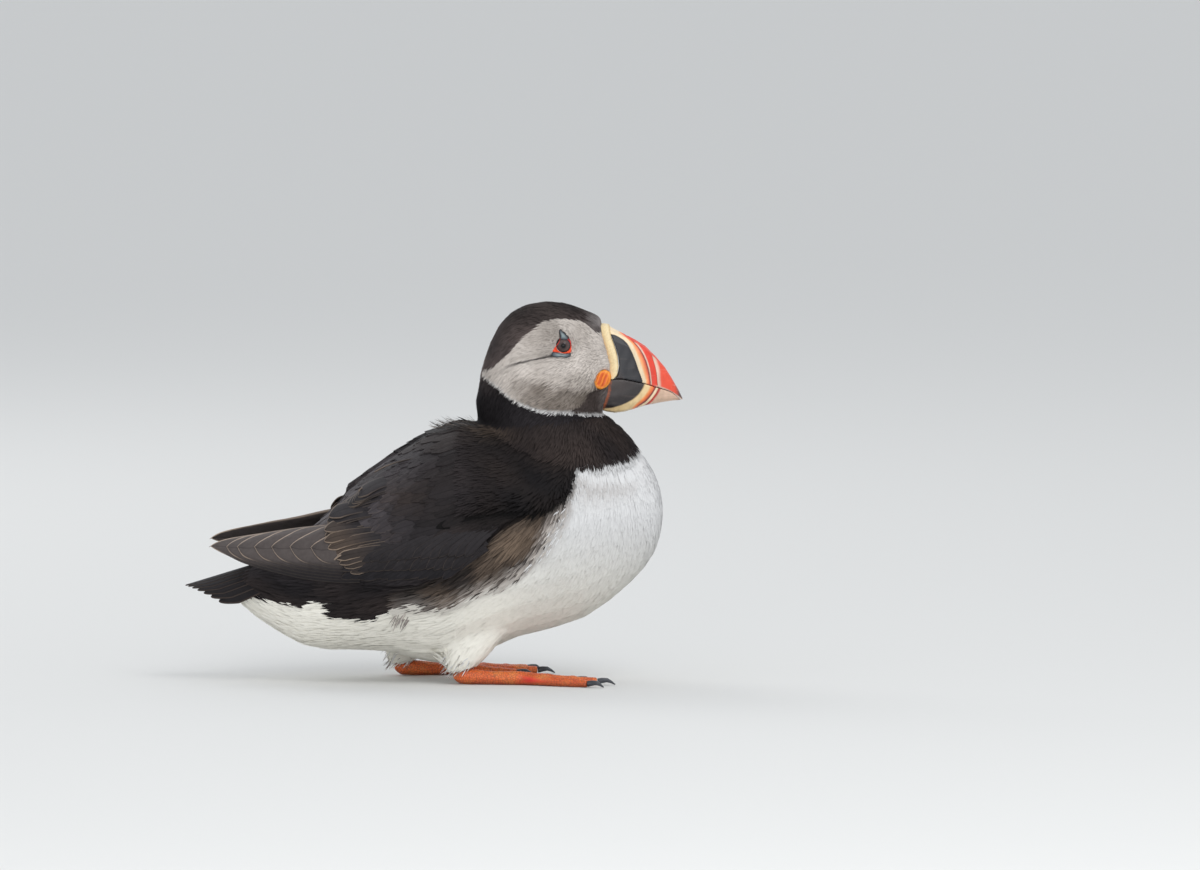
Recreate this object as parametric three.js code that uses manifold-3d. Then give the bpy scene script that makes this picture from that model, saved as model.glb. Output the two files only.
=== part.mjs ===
// A life-size Atlantic puffin in breeding dress, crouched on its shanks with the bill level.
// Millimetres, +Z up. The bill points along +X, the bird's left side is +Y, and the soles lie at Z = 0.
// The trunk, neck and head are lofts through rows of ribs. They are joined, then parted by thin cuts,
// and the wings, bill, eyes and gape rosettes are cut to meet them across the same small gap.
import * as THREE from "three";
import { mergeVertices } from "three/addons/utils/BufferGeometryUtils.js";
import Module from "manifold-3d";

const wasm = await Module();
wasm.setup();

// ---- Driving dimensions -------------------------------------------------------------------------

const LENGTH = 216.8; // tail tip to bill tip as the bird crouches
const GAP = 0.3; // clearance between pieces that meet
const WIDE = 400; // larger than the bird, for cutters
const SIDES = { right: -1, left: 1 };

// Ribs stand across the bird: [x, top z, bottom z, half width, z of the widest point].
const TRUNK_RIBS = [
  [-86, 46.5, 35, 7.5, 41],
  [-83, 48.5, 32, 10.5, 41],
  [-77, 52, 27, 15, 41],
  [-68, 56.5, 21, 21, 41.5],
  [-57, 63.5, 15, 27, 42],
  [-46, 73.6, 13, 31.5, 44],
  [-34, 84, 13, 35.2, 47],
  [-20, 95.6, 12.2, 38.6, 51],
  [-4, 107, 8, 41, 55],
  [10, 113.4, 6, 42.3, 58],
  [22, 112.6, 11.5, 42.8, 61],
  [37, 109.5, 18.5, 42.2, 64],
  [53, 108.5, 22.4, 40.2, 66.5],
  [66, 107.5, 26.8, 37, 69],
  [77, 106.2, 34.2, 32.5, 71],
  [86, 103, 42, 26.8, 72.5],
  [92.4, 97.8, 48.8, 21, 73],
  [97, 90, 56, 14.6, 73.2],
  [99.4, 82.5, 63.5, 8.6, 73.3],
  [100.4, 76, 71, 2.6, 73.4],
];
// The neck's ribs lie level: [z, back x, front x, half width].
const NECK_RIBS = [
  [84, 30, 94, 35],
  [93, 25.5, 93, 33],
  [99, 22.8, 91, 30.8],
  [105, 21.2, 87, 28],
  [111, 20.3, 81.6, 24.8],
  [116, 19.8, 75.4, 22],
  [122, 19.6, 70, 20.4],
  [130, 21.5, 64, 18.5],
];
const HEAD_RIBS = [
  [20.6, 134, 124, 4.5, 129],
  [21.9, 139.5, 118, 9, 130],
  [24.6, 147.6, 113.5, 13.4, 131],
  [28.8, 155.6, 111.5, 16.6, 132],
  [33.4, 160.4, 111, 18.4, 133],
  [40, 163.9, 111, 19.5, 133.5],
  [48.6, 165.5, 111.8, 19.7, 134],
  [57.4, 164.8, 113, 18.6, 134.5],
  [64, 162.5, 114.4, 16.2, 135],
  [69.2, 159.7, 115, 13.2, 135],
  [73.6, 156.2, 115.7, 10, 135],
  [78, 153.4, 117, 7.9, 134.5],
];
const BILL_RIBS = [
  [70, 156.2, 118.6, 7.8, 131],
  [75.2, 155.2, 117, 7.4, 131],
  [79, 153, 116.4, 7.1, 131],
  [83.4, 150.8, 117, 6.6, 131],
  [87.8, 148.5, 118.3, 6, 131],
  [92.1, 145.8, 119.6, 5.3, 130.5],
  [96.4, 141.6, 120.5, 4.5, 129.5],
  [100.8, 136.4, 121.3, 3.6, 128],
  [103.8, 131.6, 121.8, 2.8, 126.5],
  [106.4, 127, 122, 2, 124.5],
  [LENGTH / 2, 122.9, 122.1, 0.8, 122.5],
];
// The folded wings' outer surface, as if it closed round the body.
const WING_RIBS = [
  [-101, 56.5, 40, 11, 47],
  [-97, 59.2, 36, 14.5, 47],
  [-86, 63, 32, 18.6, 47],
  [-72, 66.8, 27, 24, 46.5],
  [-58, 69.6, 20, 29.5, 46],
  [-46, 77, 14, 34.4, 47],
  [-34, 86.8, 10, 38.6, 49],
  [-20, 97.8, 8, 42.2, 52],
  [-4, 108.4, 4, 44.8, 56],
  [10, 114.6, 2, 46.1, 59],
  [22, 114, 8, 46.4, 61.5],
  [37, 110.6, 14, 45.2, 64.5],
  [50, 109.4, 19, 42.6, 66.5],
  [62, 107.8, 24, 40.4, 68.5],
  [72, 104, 32, 35.8, 70],
];
const TRUNK_ROUNDNESS = 2.12; // 2 is an ellipse, more is squarer
const BILL_ROUNDNESS = 2.6;
const CERE_PROUD = 0.7; // how far the cere stands over the bill's own surface

// Outlines seen from the side, as [x, z].
const NAPE_TO_THROAT = [[8, 124.5], [19.6, 123], [42, 117.6], [75, 115.4], [96, 115.4]];
const COLLAR_EDGE = [[19.4, 112.6], [34, 105.6], [62, 96.4], [80, 97.8], [98, 104.6]];
const FEATHER_LINE = [
  [66, 163], [71.6, 158.6], [72.8, 153.9], [74.4, 148], [76, 143.6],
  [77.1, 139], [77.4, 135], [76.9, 131.3], [76.4, 126], [75.1, 121.8], [73.4, 117.2], [72.4, 112],
];
const CERE_FRONT = [
  [74, 160], [74.8, 156.6], [75.9, 153.1], [77.3, 150], [78.9, 145.7],
  [80.1, 141.4], [80.6, 137], [79.9, 133.2], [77.6, 130.9],
];
const GAPE_LINE = [
  [66, 131.6], [77, 131.6], [82, 131.6], [87, 130.6], [92, 129.5],
  [97, 127.9], [101, 126.7], [104, 125.5], [106.2, 123.6], [109.4, 120.8],
];
const WING_OUTLINE = [
  [61, 98.4], [61.8, 94], [60.4, 86.6], [56, 81.6], [50, 77.2], [40.6, 75], [31, 69.8],
  [22, 61.6], [12, 52.6], [2, 47.6], [-8, 43.4], [-24, 43.6], [-40, 44.4], [-58, 47.4],
  [-71, 50.4], [-81, 54.2], [-89, 57.2], [-97, 58.6],
  [-90.6, 62.2], [-78, 66.4], [-58, 70.8], [-50, 76], [-38, 86], [-24, 98], [-8, 108],
  [6, 116], [20, 117], [40, 114], [56, 106],
];
const PRIMARY_SPLIT = [[-37, 90], [-40.5, 76], [-44, 68], [-41, 58], [-33, 49], [-31, 36]];
const MANTLE_HALF_WIDTH = [[-104, 2], [-60, 2.4], [-20, 7], [10, 11.5], [40, 14], [66, 17]];

const WING_LIFT_DEG = { right: 0, left: 1.2 }; // the far wing is held a little higher
const WING_PIVOT = [56, 86];

const TAIL = {
  // [x, top z, half width at that x]
  ribs: [
    [-LENGTH / 2, 40.6, 1.2], [-106.4, 41.6, 4], [-102.6, 42.8, 8.6], [-97.5, 44, 12.4],
    [-91, 45.9, 15.2], [-84, 48.6, 15.8], [-76, 51.4, 14.4], [-68, 53, 12],
  ],
  droop: 11.5, // how far the fan's edges hang below its middle
  droopAt: 16, // at this half width
  thin: 0.9,
  thick: 3.4,
};

const EYE = { x: 56.6, z: 146.9, radius: 4.4, sunk: 3.3 };
const LID = { proud: 0.5, deep: 0.9, ringInner: 3.1, ringOuter: 4 };
// The horny plates over and under the eye, as offsets from the eye's centre.
const BROW_PLATE = [[-1.5, 3.9], [-1.7, 8], [-0.4, 7.2], [1.4, 5.6], [2.6, 3.6], [0.6, 4.3]];
const CHEEK_PLATE = [[-5, -3.1], [-3, -3.9], [0, -4.3], [3.4, -3.4], [3.2, -5], [0, -5.8], [-3, -5.2]];
const ROSETTE = { x: 73.6, z: 131.6, y: 8.9, long: 4.6, short: 3.1, thick: 2.2, lean: -0.42 };

const SHANK = { radius: 3.1, heelRadius: 3.6, length: 26.5, z: 2.85 };
const LEGS = {
  // heel's x, the leg's distance from the middle and how far the foot turns out, in degrees
  right: { heel: 12, y: 23, turn: 7 },
  left: { heel: -14, y: 23, turn: 9 },
};
const TOES = [
  // [name, length, angle from the foot's line in degrees, outwards positive, radius]
  ["inner", 25, -25, 2],
  ["middle", 33, -3, 2.2],
  ["outer", 32, 19, 2.1],
];
const CLAW = { length: 7.6, radius: 1.5, drop: 1.5 };
const WEB_THICKNESS = 1.3;
const THIGH = { top: 30, topHalfLength: 16, topHalfWidth: 9, bottomHalfLength: 5.4, bottomHalfWidth: 4.6 };

// ---- Colours --------------------------------------------------------------------------------------

const finish = (color, roughness) => new THREE.MeshStandardMaterial({ color, roughness, metalness: 0 });
const BLACK = finish(0x211f20, 0.75);
const WHITE = finish(0xe9e7e1, 0.8);
const GREY = finish(0xb9b4ad, 0.8);
const RED_HORN = finish(0xe2452b, 0.45);
const SLATE_HORN = finish(0x4b4c54, 0.5);
const CREAM_HORN = finish(0xe2d19a, 0.5);
const ORANGE_SKIN = finish(0xf08a14, 0.55);
const ORANGE_LEG = finish(0xdd5a28, 0.6);
const EYE_GLOSS = finish(0x3b2d2b, 0.1);
const LID_RED = finish(0xd8402a, 0.5);
const LID_PLATE = finish(0x5d6a73, 0.5);
const CLAW_HORN = finish(0x26262b, 0.4);

// ---- Shape tools ----------------------------------------------------------------------------------

// A closed three.js geometry as a manifold solid.
function solid(geometry) {
  const bare = geometry.clone();
  bare.deleteAttribute("normal");
  bare.deleteAttribute("uv");
  const merged = mergeVertices(bare, 1e-4);
  return new wasm.Manifold(
    new wasm.Mesh({
      numProp: 3,
      vertProperties: merged.attributes.position.array,
      triVerts: new Uint32Array(merged.index.array),
    }),
  );
}

// Joins rings of points into a closed skin, with a fan over each end.
function loft(rings) {
  const count = rings[0].length;
  const points = rings.flat();
  const faces = [];
  for (let i = 0; i + 1 < rings.length; i++) {
    for (let j = 0; j < count; j++) {
      const a = i * count + j;
      const b = i * count + ((j + 1) % count);
      faces.push(a, b, b + count, a, b + count, a + count);
    }
  }
  for (const [ring, start, turned] of [[rings[0], 0, true], [rings.at(-1), (rings.length - 1) * count, false]]) {
    const middle = ring.reduce((sum, p) => sum.add(p), new THREE.Vector3()).divideScalar(count);
    points.push(middle);
    const hub = points.length - 1;
    for (let j = 0; j < count; j++) {
      const pair = [start + j, start + ((j + 1) % count)];
      faces.push(hub, ...(turned ? pair.reverse() : pair));
    }
  }
  const geometry = new THREE.BufferGeometry().setFromPoints(points);
  geometry.setIndex(faces);
  const made = solid(geometry);
  return made.volume() > 0 ? made : solid(flipped(geometry));
}

function flipped(geometry) {
  const index = [...geometry.index.array];
  for (let i = 0; i < index.length; i += 3) [index[i + 1], index[i + 2]] = [index[i + 2], index[i + 1]];
  return geometry.clone().setIndex(index);
}

// Rows of numbers with more rows between them: each column runs as a Catmull-Rom curve.
function smoothRows(rows, perSpan) {
  const out = [];
  const last = rows.length - 1;
  for (let i = 0; i <= last * perSpan; i++) {
    const t = i / perSpan;
    const k = Math.min(Math.floor(t), last - 1);
    const near = [k - 1, k, k + 1, k + 2].map((n) => rows[THREE.MathUtils.clamp(n, 0, last)]);
    out.push(rows[0].map((_, column) => catmull(near.map((row) => row[column]), t - k)));
  }
  return out;
}

function catmull([p0, p1, p2, p3], t) {
  const slope1 = (p2 - p0) / 2;
  const slope2 = (p3 - p1) / 2;
  return (
    (2 * t ** 3 - 3 * t ** 2 + 1) * p1 + (t ** 3 - 2 * t ** 2 + t) * slope1 +
    (-2 * t ** 3 + 3 * t ** 2) * p2 + (t ** 3 - t ** 2) * slope2
  );
}

// A superellipse's cosine and sine.
const bulge = (value, power) => Math.sign(value) * Math.abs(value) ** (2 / power);

// A loft through ribs that stand across the bird. grow swells it evenly, for gaps and inlays.
function ribbed(rows, { perSpan = 1, around, roundness = 2, grow = 0 }) {
  return loft(
    smoothRows(rows, perSpan).map(([x, top, bottom, half, widest]) =>
      Array.from({ length: around }, (_, j) => {
        const angle = (2 * Math.PI * j) / around;
        const up = bulge(Math.sin(angle), roundness);
        const reach = up > 0 ? top - widest + grow : widest - bottom + grow;
        return new THREE.Vector3(x, (half + grow) * bulge(Math.cos(angle), roundness), widest + up * reach);
      }),
    ),
  );
}

// A smooth run of points through an outline, as [x, z].
function smoothLine(points, perSpan) {
  const curve = new THREE.CatmullRomCurve3(points.map(([x, z]) => new THREE.Vector3(x, 0, z)), false, "centripetal");
  return curve.getPoints((points.length - 1) * perSpan).map((p) => [p.x, p.z]);
}

// A prism that stands across the bird on a closed outline of [x, z], from one y to another.
function across(outline, fromY = -WIDE, toY = WIDE, hole = null) {
  const shape = new THREE.Shape(outline.map(([x, z]) => new THREE.Vector2(x, z)));
  if (hole) shape.holes.push(new THREE.Path(hole.map(([x, z]) => new THREE.Vector2(x, z))));
  const prism = new THREE.ExtrudeGeometry(shape, { depth: toY - fromY, bevelEnabled: false });
  prism.rotateX(Math.PI / 2).translate(0, toY, 0);
  return solid(prism);
}

// Everything above or below a line that runs along the bird.
const above = (line, gap = 0) => beside(line, gap, WIDE);
const below = (line, gap = 0) => beside(line, -gap, -WIDE);
function beside(line, shift, far) {
  const moved = line.map(([x, z]) => [x, z + shift]);
  return across([...moved, [line.at(-1)[0], far], [line[0][0], far]]);
}

// Everything before or behind a line that falls from the crown, moved forwards by a shift.
const before = (line, shift = 0) => endwards(line, shift, WIDE);
const behind = (line, shift = 0) => endwards(line, shift, -WIDE);
function endwards(line, shift, far) {
  const moved = line.map(([x, z]) => [x + shift, z]);
  return across([...moved, [moved.at(-1)[0], -WIDE], [far, -WIDE], [far, WIDE], [moved[0][0], WIDE]]);
}

function circle(cx, cz, radius) {
  const count = 16;
  return Array.from({ length: count }, (_, i) => {
    const angle = (2 * Math.PI * i) / count;
    return [cx + radius * Math.cos(angle), cz + radius * Math.sin(angle)];
  });
}

const largest = (made) => made.decompose().reduce((a, b) => (a.volume() > b.volume() ? a : b));

// An outline moved outwards by a distance, each corner along the middle of its two edges' normals.
function swollen(outline, by) {
  const corners = outline.map(([x, z]) => new THREE.Vector2(x, z));
  const turn = THREE.ShapeUtils.area(corners) > 0 ? 1 : -1;
  const normal = (from, to) => new THREE.Vector2(to.y - from.y, from.x - to.x).normalize().multiplyScalar(turn);
  return corners.map((corner, i) => {
    const before = normal(corners.at(i - 1), corner);
    const after = normal(corner, corners[(i + 1) % corners.length]);
    const middle = before.clone().add(after).normalize();
    const reach = by / Math.max(0.4, middle.dot(before));
    return [corner.x + middle.x * reach, corner.y + middle.y * reach];
  });
}

const group = new THREE.Group();

function add(name, made, material) {
  const mesh = made.getMesh();
  const geometry = new THREE.BufferGeometry();
  geometry.setAttribute("position", new THREE.BufferAttribute(new Float32Array(mesh.vertProperties), 3));
  geometry.setIndex([...mesh.triVerts]);
  geometry.computeVertexNormals();
  const node = new THREE.Mesh(geometry, material);
  node.name = name;
  group.add(node);
}

// ---- The body as one shape ------------------------------------------------------------------------

const trunkForm = (grow = 0) => ribbed(TRUNK_RIBS, { around: 28, roundness: TRUNK_ROUNDNESS, grow });
const headForm = (grow = 0) => ribbed(HEAD_RIBS, { around: 24, grow });
const billForm = (grow = 0) => ribbed(BILL_RIBS, { around: 16, roundness: BILL_ROUNDNESS, grow });

function neckForm(grow = 0) {
  const around = 24;
  return loft(
    NECK_RIBS.map(([z, back, front, half]) =>
      Array.from({ length: around }, (_, j) => {
        const angle = (2 * Math.PI * j) / around;
        const along = (front + back) / 2 + ((front - back) / 2 + grow) * Math.cos(angle);
        return new THREE.Vector3(along, (half + grow) * Math.sin(angle), z);
      }),
    ),
  );
}

const trunk = trunkForm();
const neck = neckForm();
const head = headForm();
const bill = billForm();

// Lines that part the body
const throatCut = smoothLine(NAPE_TO_THROAT, 2);
const collarCut = smoothLine(COLLAR_EDGE, 3);
const featherLine = smoothLine(FEATHER_LINE, 1);
const cereFront = smoothLine(CERE_FRONT, 1);
const gapeLine = smoothLine(GAPE_LINE, 1);

// ---- Legs and feet --------------------------------------------------------------------------------

// A round rod through points, with a radius at each.
function rod(points, radii, { around, perSpan }) {
  const curve = new THREE.CatmullRomCurve3(points, false, "centripetal");
  const rows = smoothRows(radii.map((r) => [r]), perSpan);
  const rings = rows.map(([radius], i) => {
    const t = i / (rows.length - 1);
    const middle = curve.getPoint(t);
    const ahead = curve.getTangent(t);
    const side = new THREE.Vector3(0, 0, 1).cross(ahead).normalize();
    const up = ahead.clone().cross(side);
    return Array.from({ length: around }, (_, j) => {
      const angle = (2 * Math.PI * j) / around;
      return middle
        .clone()
        .addScaledVector(side, radius * Math.cos(angle))
        .addScaledVector(up, radius * Math.sin(angle));
    });
  });
  return loft(rings);
}

const underFloor = solid(new THREE.BoxGeometry(WIDE, WIDE, 20).translate(0, 0, -10));

// Moves a leg built at the origin, heel at zero and toes along +X, to its place.
function placed(made, side) {
  const leg = LEGS[side];
  const outwards = -SIDES[side];
  const turned = outwards > 0 ? made : made.mirror([0, 1, 0]);
  return turned.rotate([0, 0, -outwards * leg.turn]).translate([leg.heel, -outwards * leg.y, 0]);
}

function shank(grow = 0) {
  const route = [[-3 - grow, 4.2], [0, 3.7], [SHANK.length / 2, SHANK.z], [SHANK.length + grow, SHANK.z]];
  return rod(
    route.map(([x, z]) => new THREE.Vector3(x, 0, z)),
    [1.6, SHANK.heelRadius, SHANK.radius, SHANK.radius * 1.06].map((radius) => radius + grow),
    { around: 10, perSpan: 2 },
  );
}

// Each toe's tip, and the knuckle from which they all spread. Outwards is -Y here.
const knuckle = new THREE.Vector3(SHANK.length, 0, SHANK.z - 0.05);
function toeTip([, length, angle, radius], share = 1) {
  const turn = THREE.MathUtils.degToRad(-angle);
  const reach = length * share;
  return new THREE.Vector3(
    SHANK.length + reach * Math.cos(turn),
    reach * Math.sin(turn),
    THREE.MathUtils.lerp(knuckle.z, radius * 0.78, Math.min(1, share * 1.5)),
  );
}

function foot() {
  let made = null;
  for (const toe of TOES) {
    const radius = toe[3];
    const bones = rod(
      [knuckle.clone().setX(SHANK.length + 0.2), toeTip(toe, 0.35), toeTip(toe, 0.7), toeTip(toe)],
      [SHANK.radius, radius * 1.18, radius, radius * 0.8],
      { around: 8, perSpan: 1 },
    );
    made = made ? made.add(bones) : bones;
  }
  // The web hangs between neighbouring toes, its free edge curving in.
  for (let i = 0; i + 1 < TOES.length; i++) {
    const [first, second] = [toeTip(TOES[i], 0.96), toeTip(TOES[i + 1], 0.96)];
    const heel = knuckle.clone().setX(SHANK.length + 1);
    const dip = first.clone().add(second).multiplyScalar(0.5).lerp(heel, 0.2);
    const edge = new THREE.QuadraticBezierCurve3(first, dip, second).getPoints(4);
    const shape = new THREE.Shape([heel, ...edge].map((p) => new THREE.Vector2(p.x, p.y)));
    const web = new THREE.ExtrudeGeometry(shape, { depth: WEB_THICKNESS, bevelEnabled: false });
    made = made.add(solid(web.translate(0, 0, 0.35)));
  }
  return made.subtract(underFloor);
}

function claw(toe) {
  const tip = toeTip(toe);
  const ahead = tip.clone().sub(knuckle).setZ(0).normalize();
  const start = tip.clone().addScaledVector(ahead, GAP);
  const middle = start.clone().addScaledVector(ahead, CLAW.length * 0.55).setZ(start.z + 0.5);
  const end = start.clone().addScaledVector(ahead, CLAW.length).setZ(Math.max(0.35, start.z - CLAW.drop));
  const radii = [CLAW.radius, CLAW.radius * 0.72, 0.3];
  return rod([start, middle, end], radii, { around: 6, perSpan: 2 }).subtract(underFloor);
}

// The feathered thigh, from the flank down to the heel.
function thigh(side) {
  const leg = LEGS[side];
  const inwards = -SIDES[side];
  const rows = smoothRows(
    [
      [4.6, -1, THIGH.bottomHalfLength, THIGH.bottomHalfWidth, 0],
      [8.5, 1, 8, 6, 0.6],
      [17, 4, 13, 8, 2],
      [THIGH.top, 9, THIGH.topHalfLength, THIGH.topHalfWidth, 4],
    ],
    2,
  );
  const around = 16;
  return loft(
    rows.map(([z, ahead, long, wide, inside]) =>
      Array.from({ length: around }, (_, j) => {
        const angle = (2 * Math.PI * j) / around;
        return new THREE.Vector3(
          leg.heel + ahead + long * Math.cos(angle),
          SIDES[side] * leg.y + inwards * inside + wide * Math.sin(angle),
          z,
        );
      }),
    ),
  );
}

// ---- Wings ----------------------------------------------------------------------------------------

const wingRear = ribbed(WING_RIBS.filter(([x]) => x < -30), { around: 24, grow: -2.6 });
const wingForm = ribbed(WING_RIBS, { around: 28 });

function wing(side) {
  const sign = SIDES[side];
  const inner = MANTLE_HALF_WIDTH.map(([x, y]) => [x, sign * y]);
  const plan = new THREE.Shape([...inner, [80, sign * 60], [-110, sign * 60]].map(([x, y]) => new THREE.Vector2(x, y)));
  const beyondMantle = solid(new THREE.ExtrudeGeometry(plan, { depth: 200, bevelEnabled: false }));
  const outline = across(smoothLine([...WING_OUTLINE, WING_OUTLINE[0]], 2).slice(0, -1));
  let made = wingForm.subtract(wingRear).intersect(outline).intersect(beyondMantle);
  const [px, pz] = WING_PIVOT;
  made = made.translate([-px, 0, -pz]).rotate([0, WING_LIFT_DEG[side], 0]).translate([px, 0, pz]);
  return made.subtract(trunkForm(GAP)).subtract(neckForm(GAP)).subtract(tail(GAP));
}

const primarySplit = smoothLine(PRIMARY_SPLIT, 3);

// ---- Tail -----------------------------------------------------------------------------------------

// A short fan, arched like a roof, that thins towards the feather tips.
function tail(grow = 0) {
  const strips = 8;
  return loft(
    smoothRows(TAIL.ribs, 1).map(([x, top, half]) => {
      const share = (x + LENGTH / 2) / 40;
      const thickness = THREE.MathUtils.lerp(TAIL.thin, TAIL.thick, Math.min(1, share)) + 2 * grow;
      const reach = half + grow;
      const sheet = (offset) =>
        Array.from({ length: strips + 1 }, (_, j) => {
          const y = reach * Math.cos((Math.PI * j) / strips);
          const edge = Math.sqrt(Math.max(0, 1 - (y / reach) ** 2)) * 0.9 + 0.1;
          const sag = TAIL.droop * (y / TAIL.droopAt) ** 2;
          return new THREE.Vector3(x, y, top + grow - thickness / 2 - sag + offset * edge * thickness);
        });
      return [...sheet(0.5), ...sheet(-0.5).reverse()];
    }),
  );
}

// ---- Head fittings --------------------------------------------------------------------------------

const aroundEye = (outline) => outline.map(([x, z]) => [EYE.x + x, EYE.z + z]);
const headIn = headForm(-LID.deep);
const headOut = headForm(LID.proud);
const headPocket = headForm(-LID.deep - GAP);

// A prism through one side of the head only.
const throughSide = (outline, sign, hole) => across(outline, ...(sign > 0 ? [6, WIDE] : [-WIDE, -6]), hole);

// A thin plate let into the side of the head, and the pocket that holds it.
const inlay = (outline, sign, hole) => throughSide(outline, sign, hole).intersect(headOut).subtract(headIn);
const pocket = (outline, sign) => throughSide(swollen(outline, GAP), sign).subtract(headPocket);

function eyeball(sign, grow = 0) {
  const nearRib = HEAD_RIBS.find(([x]) => x > EYE.x);
  const rise = (EYE.z - nearRib[4]) / (nearRib[1] - nearRib[4]);
  const surface = nearRib[3] * Math.sqrt(1 - rise ** 2);
  const ball = new THREE.SphereGeometry(EYE.radius + grow, 12, 8).rotateX(Math.PI / 2);
  return solid(ball.translate(EYE.x, sign * (surface - EYE.sunk), EYE.z));
}

function rosette(sign, grow = 0) {
  const ball = new THREE.SphereGeometry(1, 10, 6);
  ball.scale(ROSETTE.short + grow, ROSETTE.thick + grow, ROSETTE.long + grow).rotateY(-ROSETTE.lean);
  ball.rotateZ(sign * -0.55);
  return solid(ball.translate(ROSETTE.x, sign * ROSETTE.y, ROSETTE.z));
}

// ---- Assembly -------------------------------------------------------------------------------------

// The neck's own stretch: over the collar's edge and before the nape's foot.
function neckRegion(shift) {
  const edge = collarCut.map(([x, z]) => [x, z + shift]);
  edge[0][0] += shift;
  return across([...edge, [WIDE, edge.at(-1)[1]], [WIDE, WIDE], [edge[0][0], WIDE]]);
}

const neckAndTrunk = trunk.add(neck);
const throat = neckAndTrunk.add(head).intersect(neckRegion(GAP / 2)).intersect(below(throatCut, GAP / 2));
add("trunk", largest(neckAndTrunk.subtract(neckRegion(-GAP / 2))), WHITE);
add("neck", largest(throat.subtract(billForm(GAP))), BLACK);

let skull = head.add(neck).intersect(above(throatCut, GAP / 2)).intersect(behind(featherLine));
for (const [side, sign] of Object.entries(SIDES)) {
  const lidRim = circle(EYE.x, EYE.z, LID.ringOuter);
  const roomForEye = eyeball(sign, GAP);
  const roomForLid = throughSide(swollen(lidRim, GAP), sign).add(roomForEye);
  const lid = inlay(lidRim, sign, circle(EYE.x, EYE.z, LID.ringInner));
  add(`eye_${side}`, eyeball(sign), EYE_GLOSS);
  add(`eyelid_ring_${side}`, largest(lid.subtract(roomForEye)), LID_RED);
  skull = skull.subtract(pocket(lidRim, sign)).subtract(roomForEye).subtract(rosette(sign, GAP));
  for (const [name, outline] of Object.entries({ brow: aroundEye(BROW_PLATE), cheek: aroundEye(CHEEK_PLATE) })) {
    skull = skull.subtract(pocket(outline, sign));
    add(`${name}_plate_${side}`, largest(inlay(outline, sign).subtract(roomForLid)), LID_PLATE);
  }
  add(`gape_rosette_${side}`, largest(rosette(sign).subtract(billForm(CERE_PROUD + GAP))), ORANGE_SKIN);
}
add("head", largest(skull), GREY);

const overGape = above(gapeLine, GAP / 2);
const cere = billForm(CERE_PROUD).intersect(before(featherLine, GAP)).intersect(behind(cereFront));
add("bill_cere", largest(cere.intersect(overGape)), CREAM_HORN);
add("bill_upper", largest(bill.intersect(before(cereFront, GAP)).intersect(overGape)), RED_HORN);
add("bill_lower", largest(bill.intersect(before(featherLine, GAP)).intersect(below(gapeLine, GAP / 2))), SLATE_HORN);

add("tail", largest(tail().subtract(trunkForm(GAP))), BLACK);
for (const side of Object.keys(SIDES)) {
  const whole = wing(side);
  add(`wing_${side}`, largest(whole.intersect(before(primarySplit, GAP / 2))), BLACK);
  add(`primaries_${side}`, largest(whole.intersect(behind(primarySplit, -GAP / 2))), BLACK);

  const roomForShank = placed(shank(GAP), side);
  add(`thigh_${side}`, largest(thigh(side).subtract(trunkForm(GAP)).subtract(roomForShank)), WHITE);
  add(`shank_${side}`, placed(shank().subtract(underFloor), side), ORANGE_LEG);
  add(`foot_${side}`, largest(placed(foot(), side).subtract(roomForShank)), ORANGE_LEG);
  for (const toe of TOES) add(`claw_${toe[0]}_${side}`, placed(claw(toe), side), CLAW_HORN);
}

export default group;
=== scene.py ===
"""A life-size Atlantic puffin at rest: one skin under a coat of mesh feathers, with horn bill, eyes and feet.

The frame is in metres: bill along +X, the bird's left along +Y, soles at z 0. Shapes and markings are worked
out in millimetres and seen from the side, where a place is (x, z) and both sides of the bird are alike, so
points are divided by MM on the way in and multiplied by it on the way out.
"""

import math

import bmesh
import bpy
import numpy as np
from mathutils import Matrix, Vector
from mathutils.bvhtree import BVHTree


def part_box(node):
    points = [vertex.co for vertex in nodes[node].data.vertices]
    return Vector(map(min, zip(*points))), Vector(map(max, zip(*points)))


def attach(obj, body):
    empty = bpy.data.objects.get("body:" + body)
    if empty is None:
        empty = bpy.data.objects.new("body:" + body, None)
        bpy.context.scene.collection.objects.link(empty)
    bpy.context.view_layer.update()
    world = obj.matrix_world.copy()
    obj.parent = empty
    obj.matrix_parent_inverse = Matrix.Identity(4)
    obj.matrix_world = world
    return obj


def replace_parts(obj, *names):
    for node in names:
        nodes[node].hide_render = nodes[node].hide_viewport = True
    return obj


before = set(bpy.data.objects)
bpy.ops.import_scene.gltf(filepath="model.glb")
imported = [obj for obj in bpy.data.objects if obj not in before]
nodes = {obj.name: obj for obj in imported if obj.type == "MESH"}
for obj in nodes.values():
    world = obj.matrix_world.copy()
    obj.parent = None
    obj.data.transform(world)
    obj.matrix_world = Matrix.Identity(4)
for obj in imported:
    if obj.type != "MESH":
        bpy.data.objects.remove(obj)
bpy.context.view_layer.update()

MM = 0.001
SIDES = {"right": -1, "left": 1}
BODY = "root"

# ---------------------------------------------------------------- sizes and places, in millimetres

SKIN_VOXEL = 1.0
EYE = {"x": 56.6, "y": 14.0, "z": 146.8, "radius": 3.6}

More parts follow.
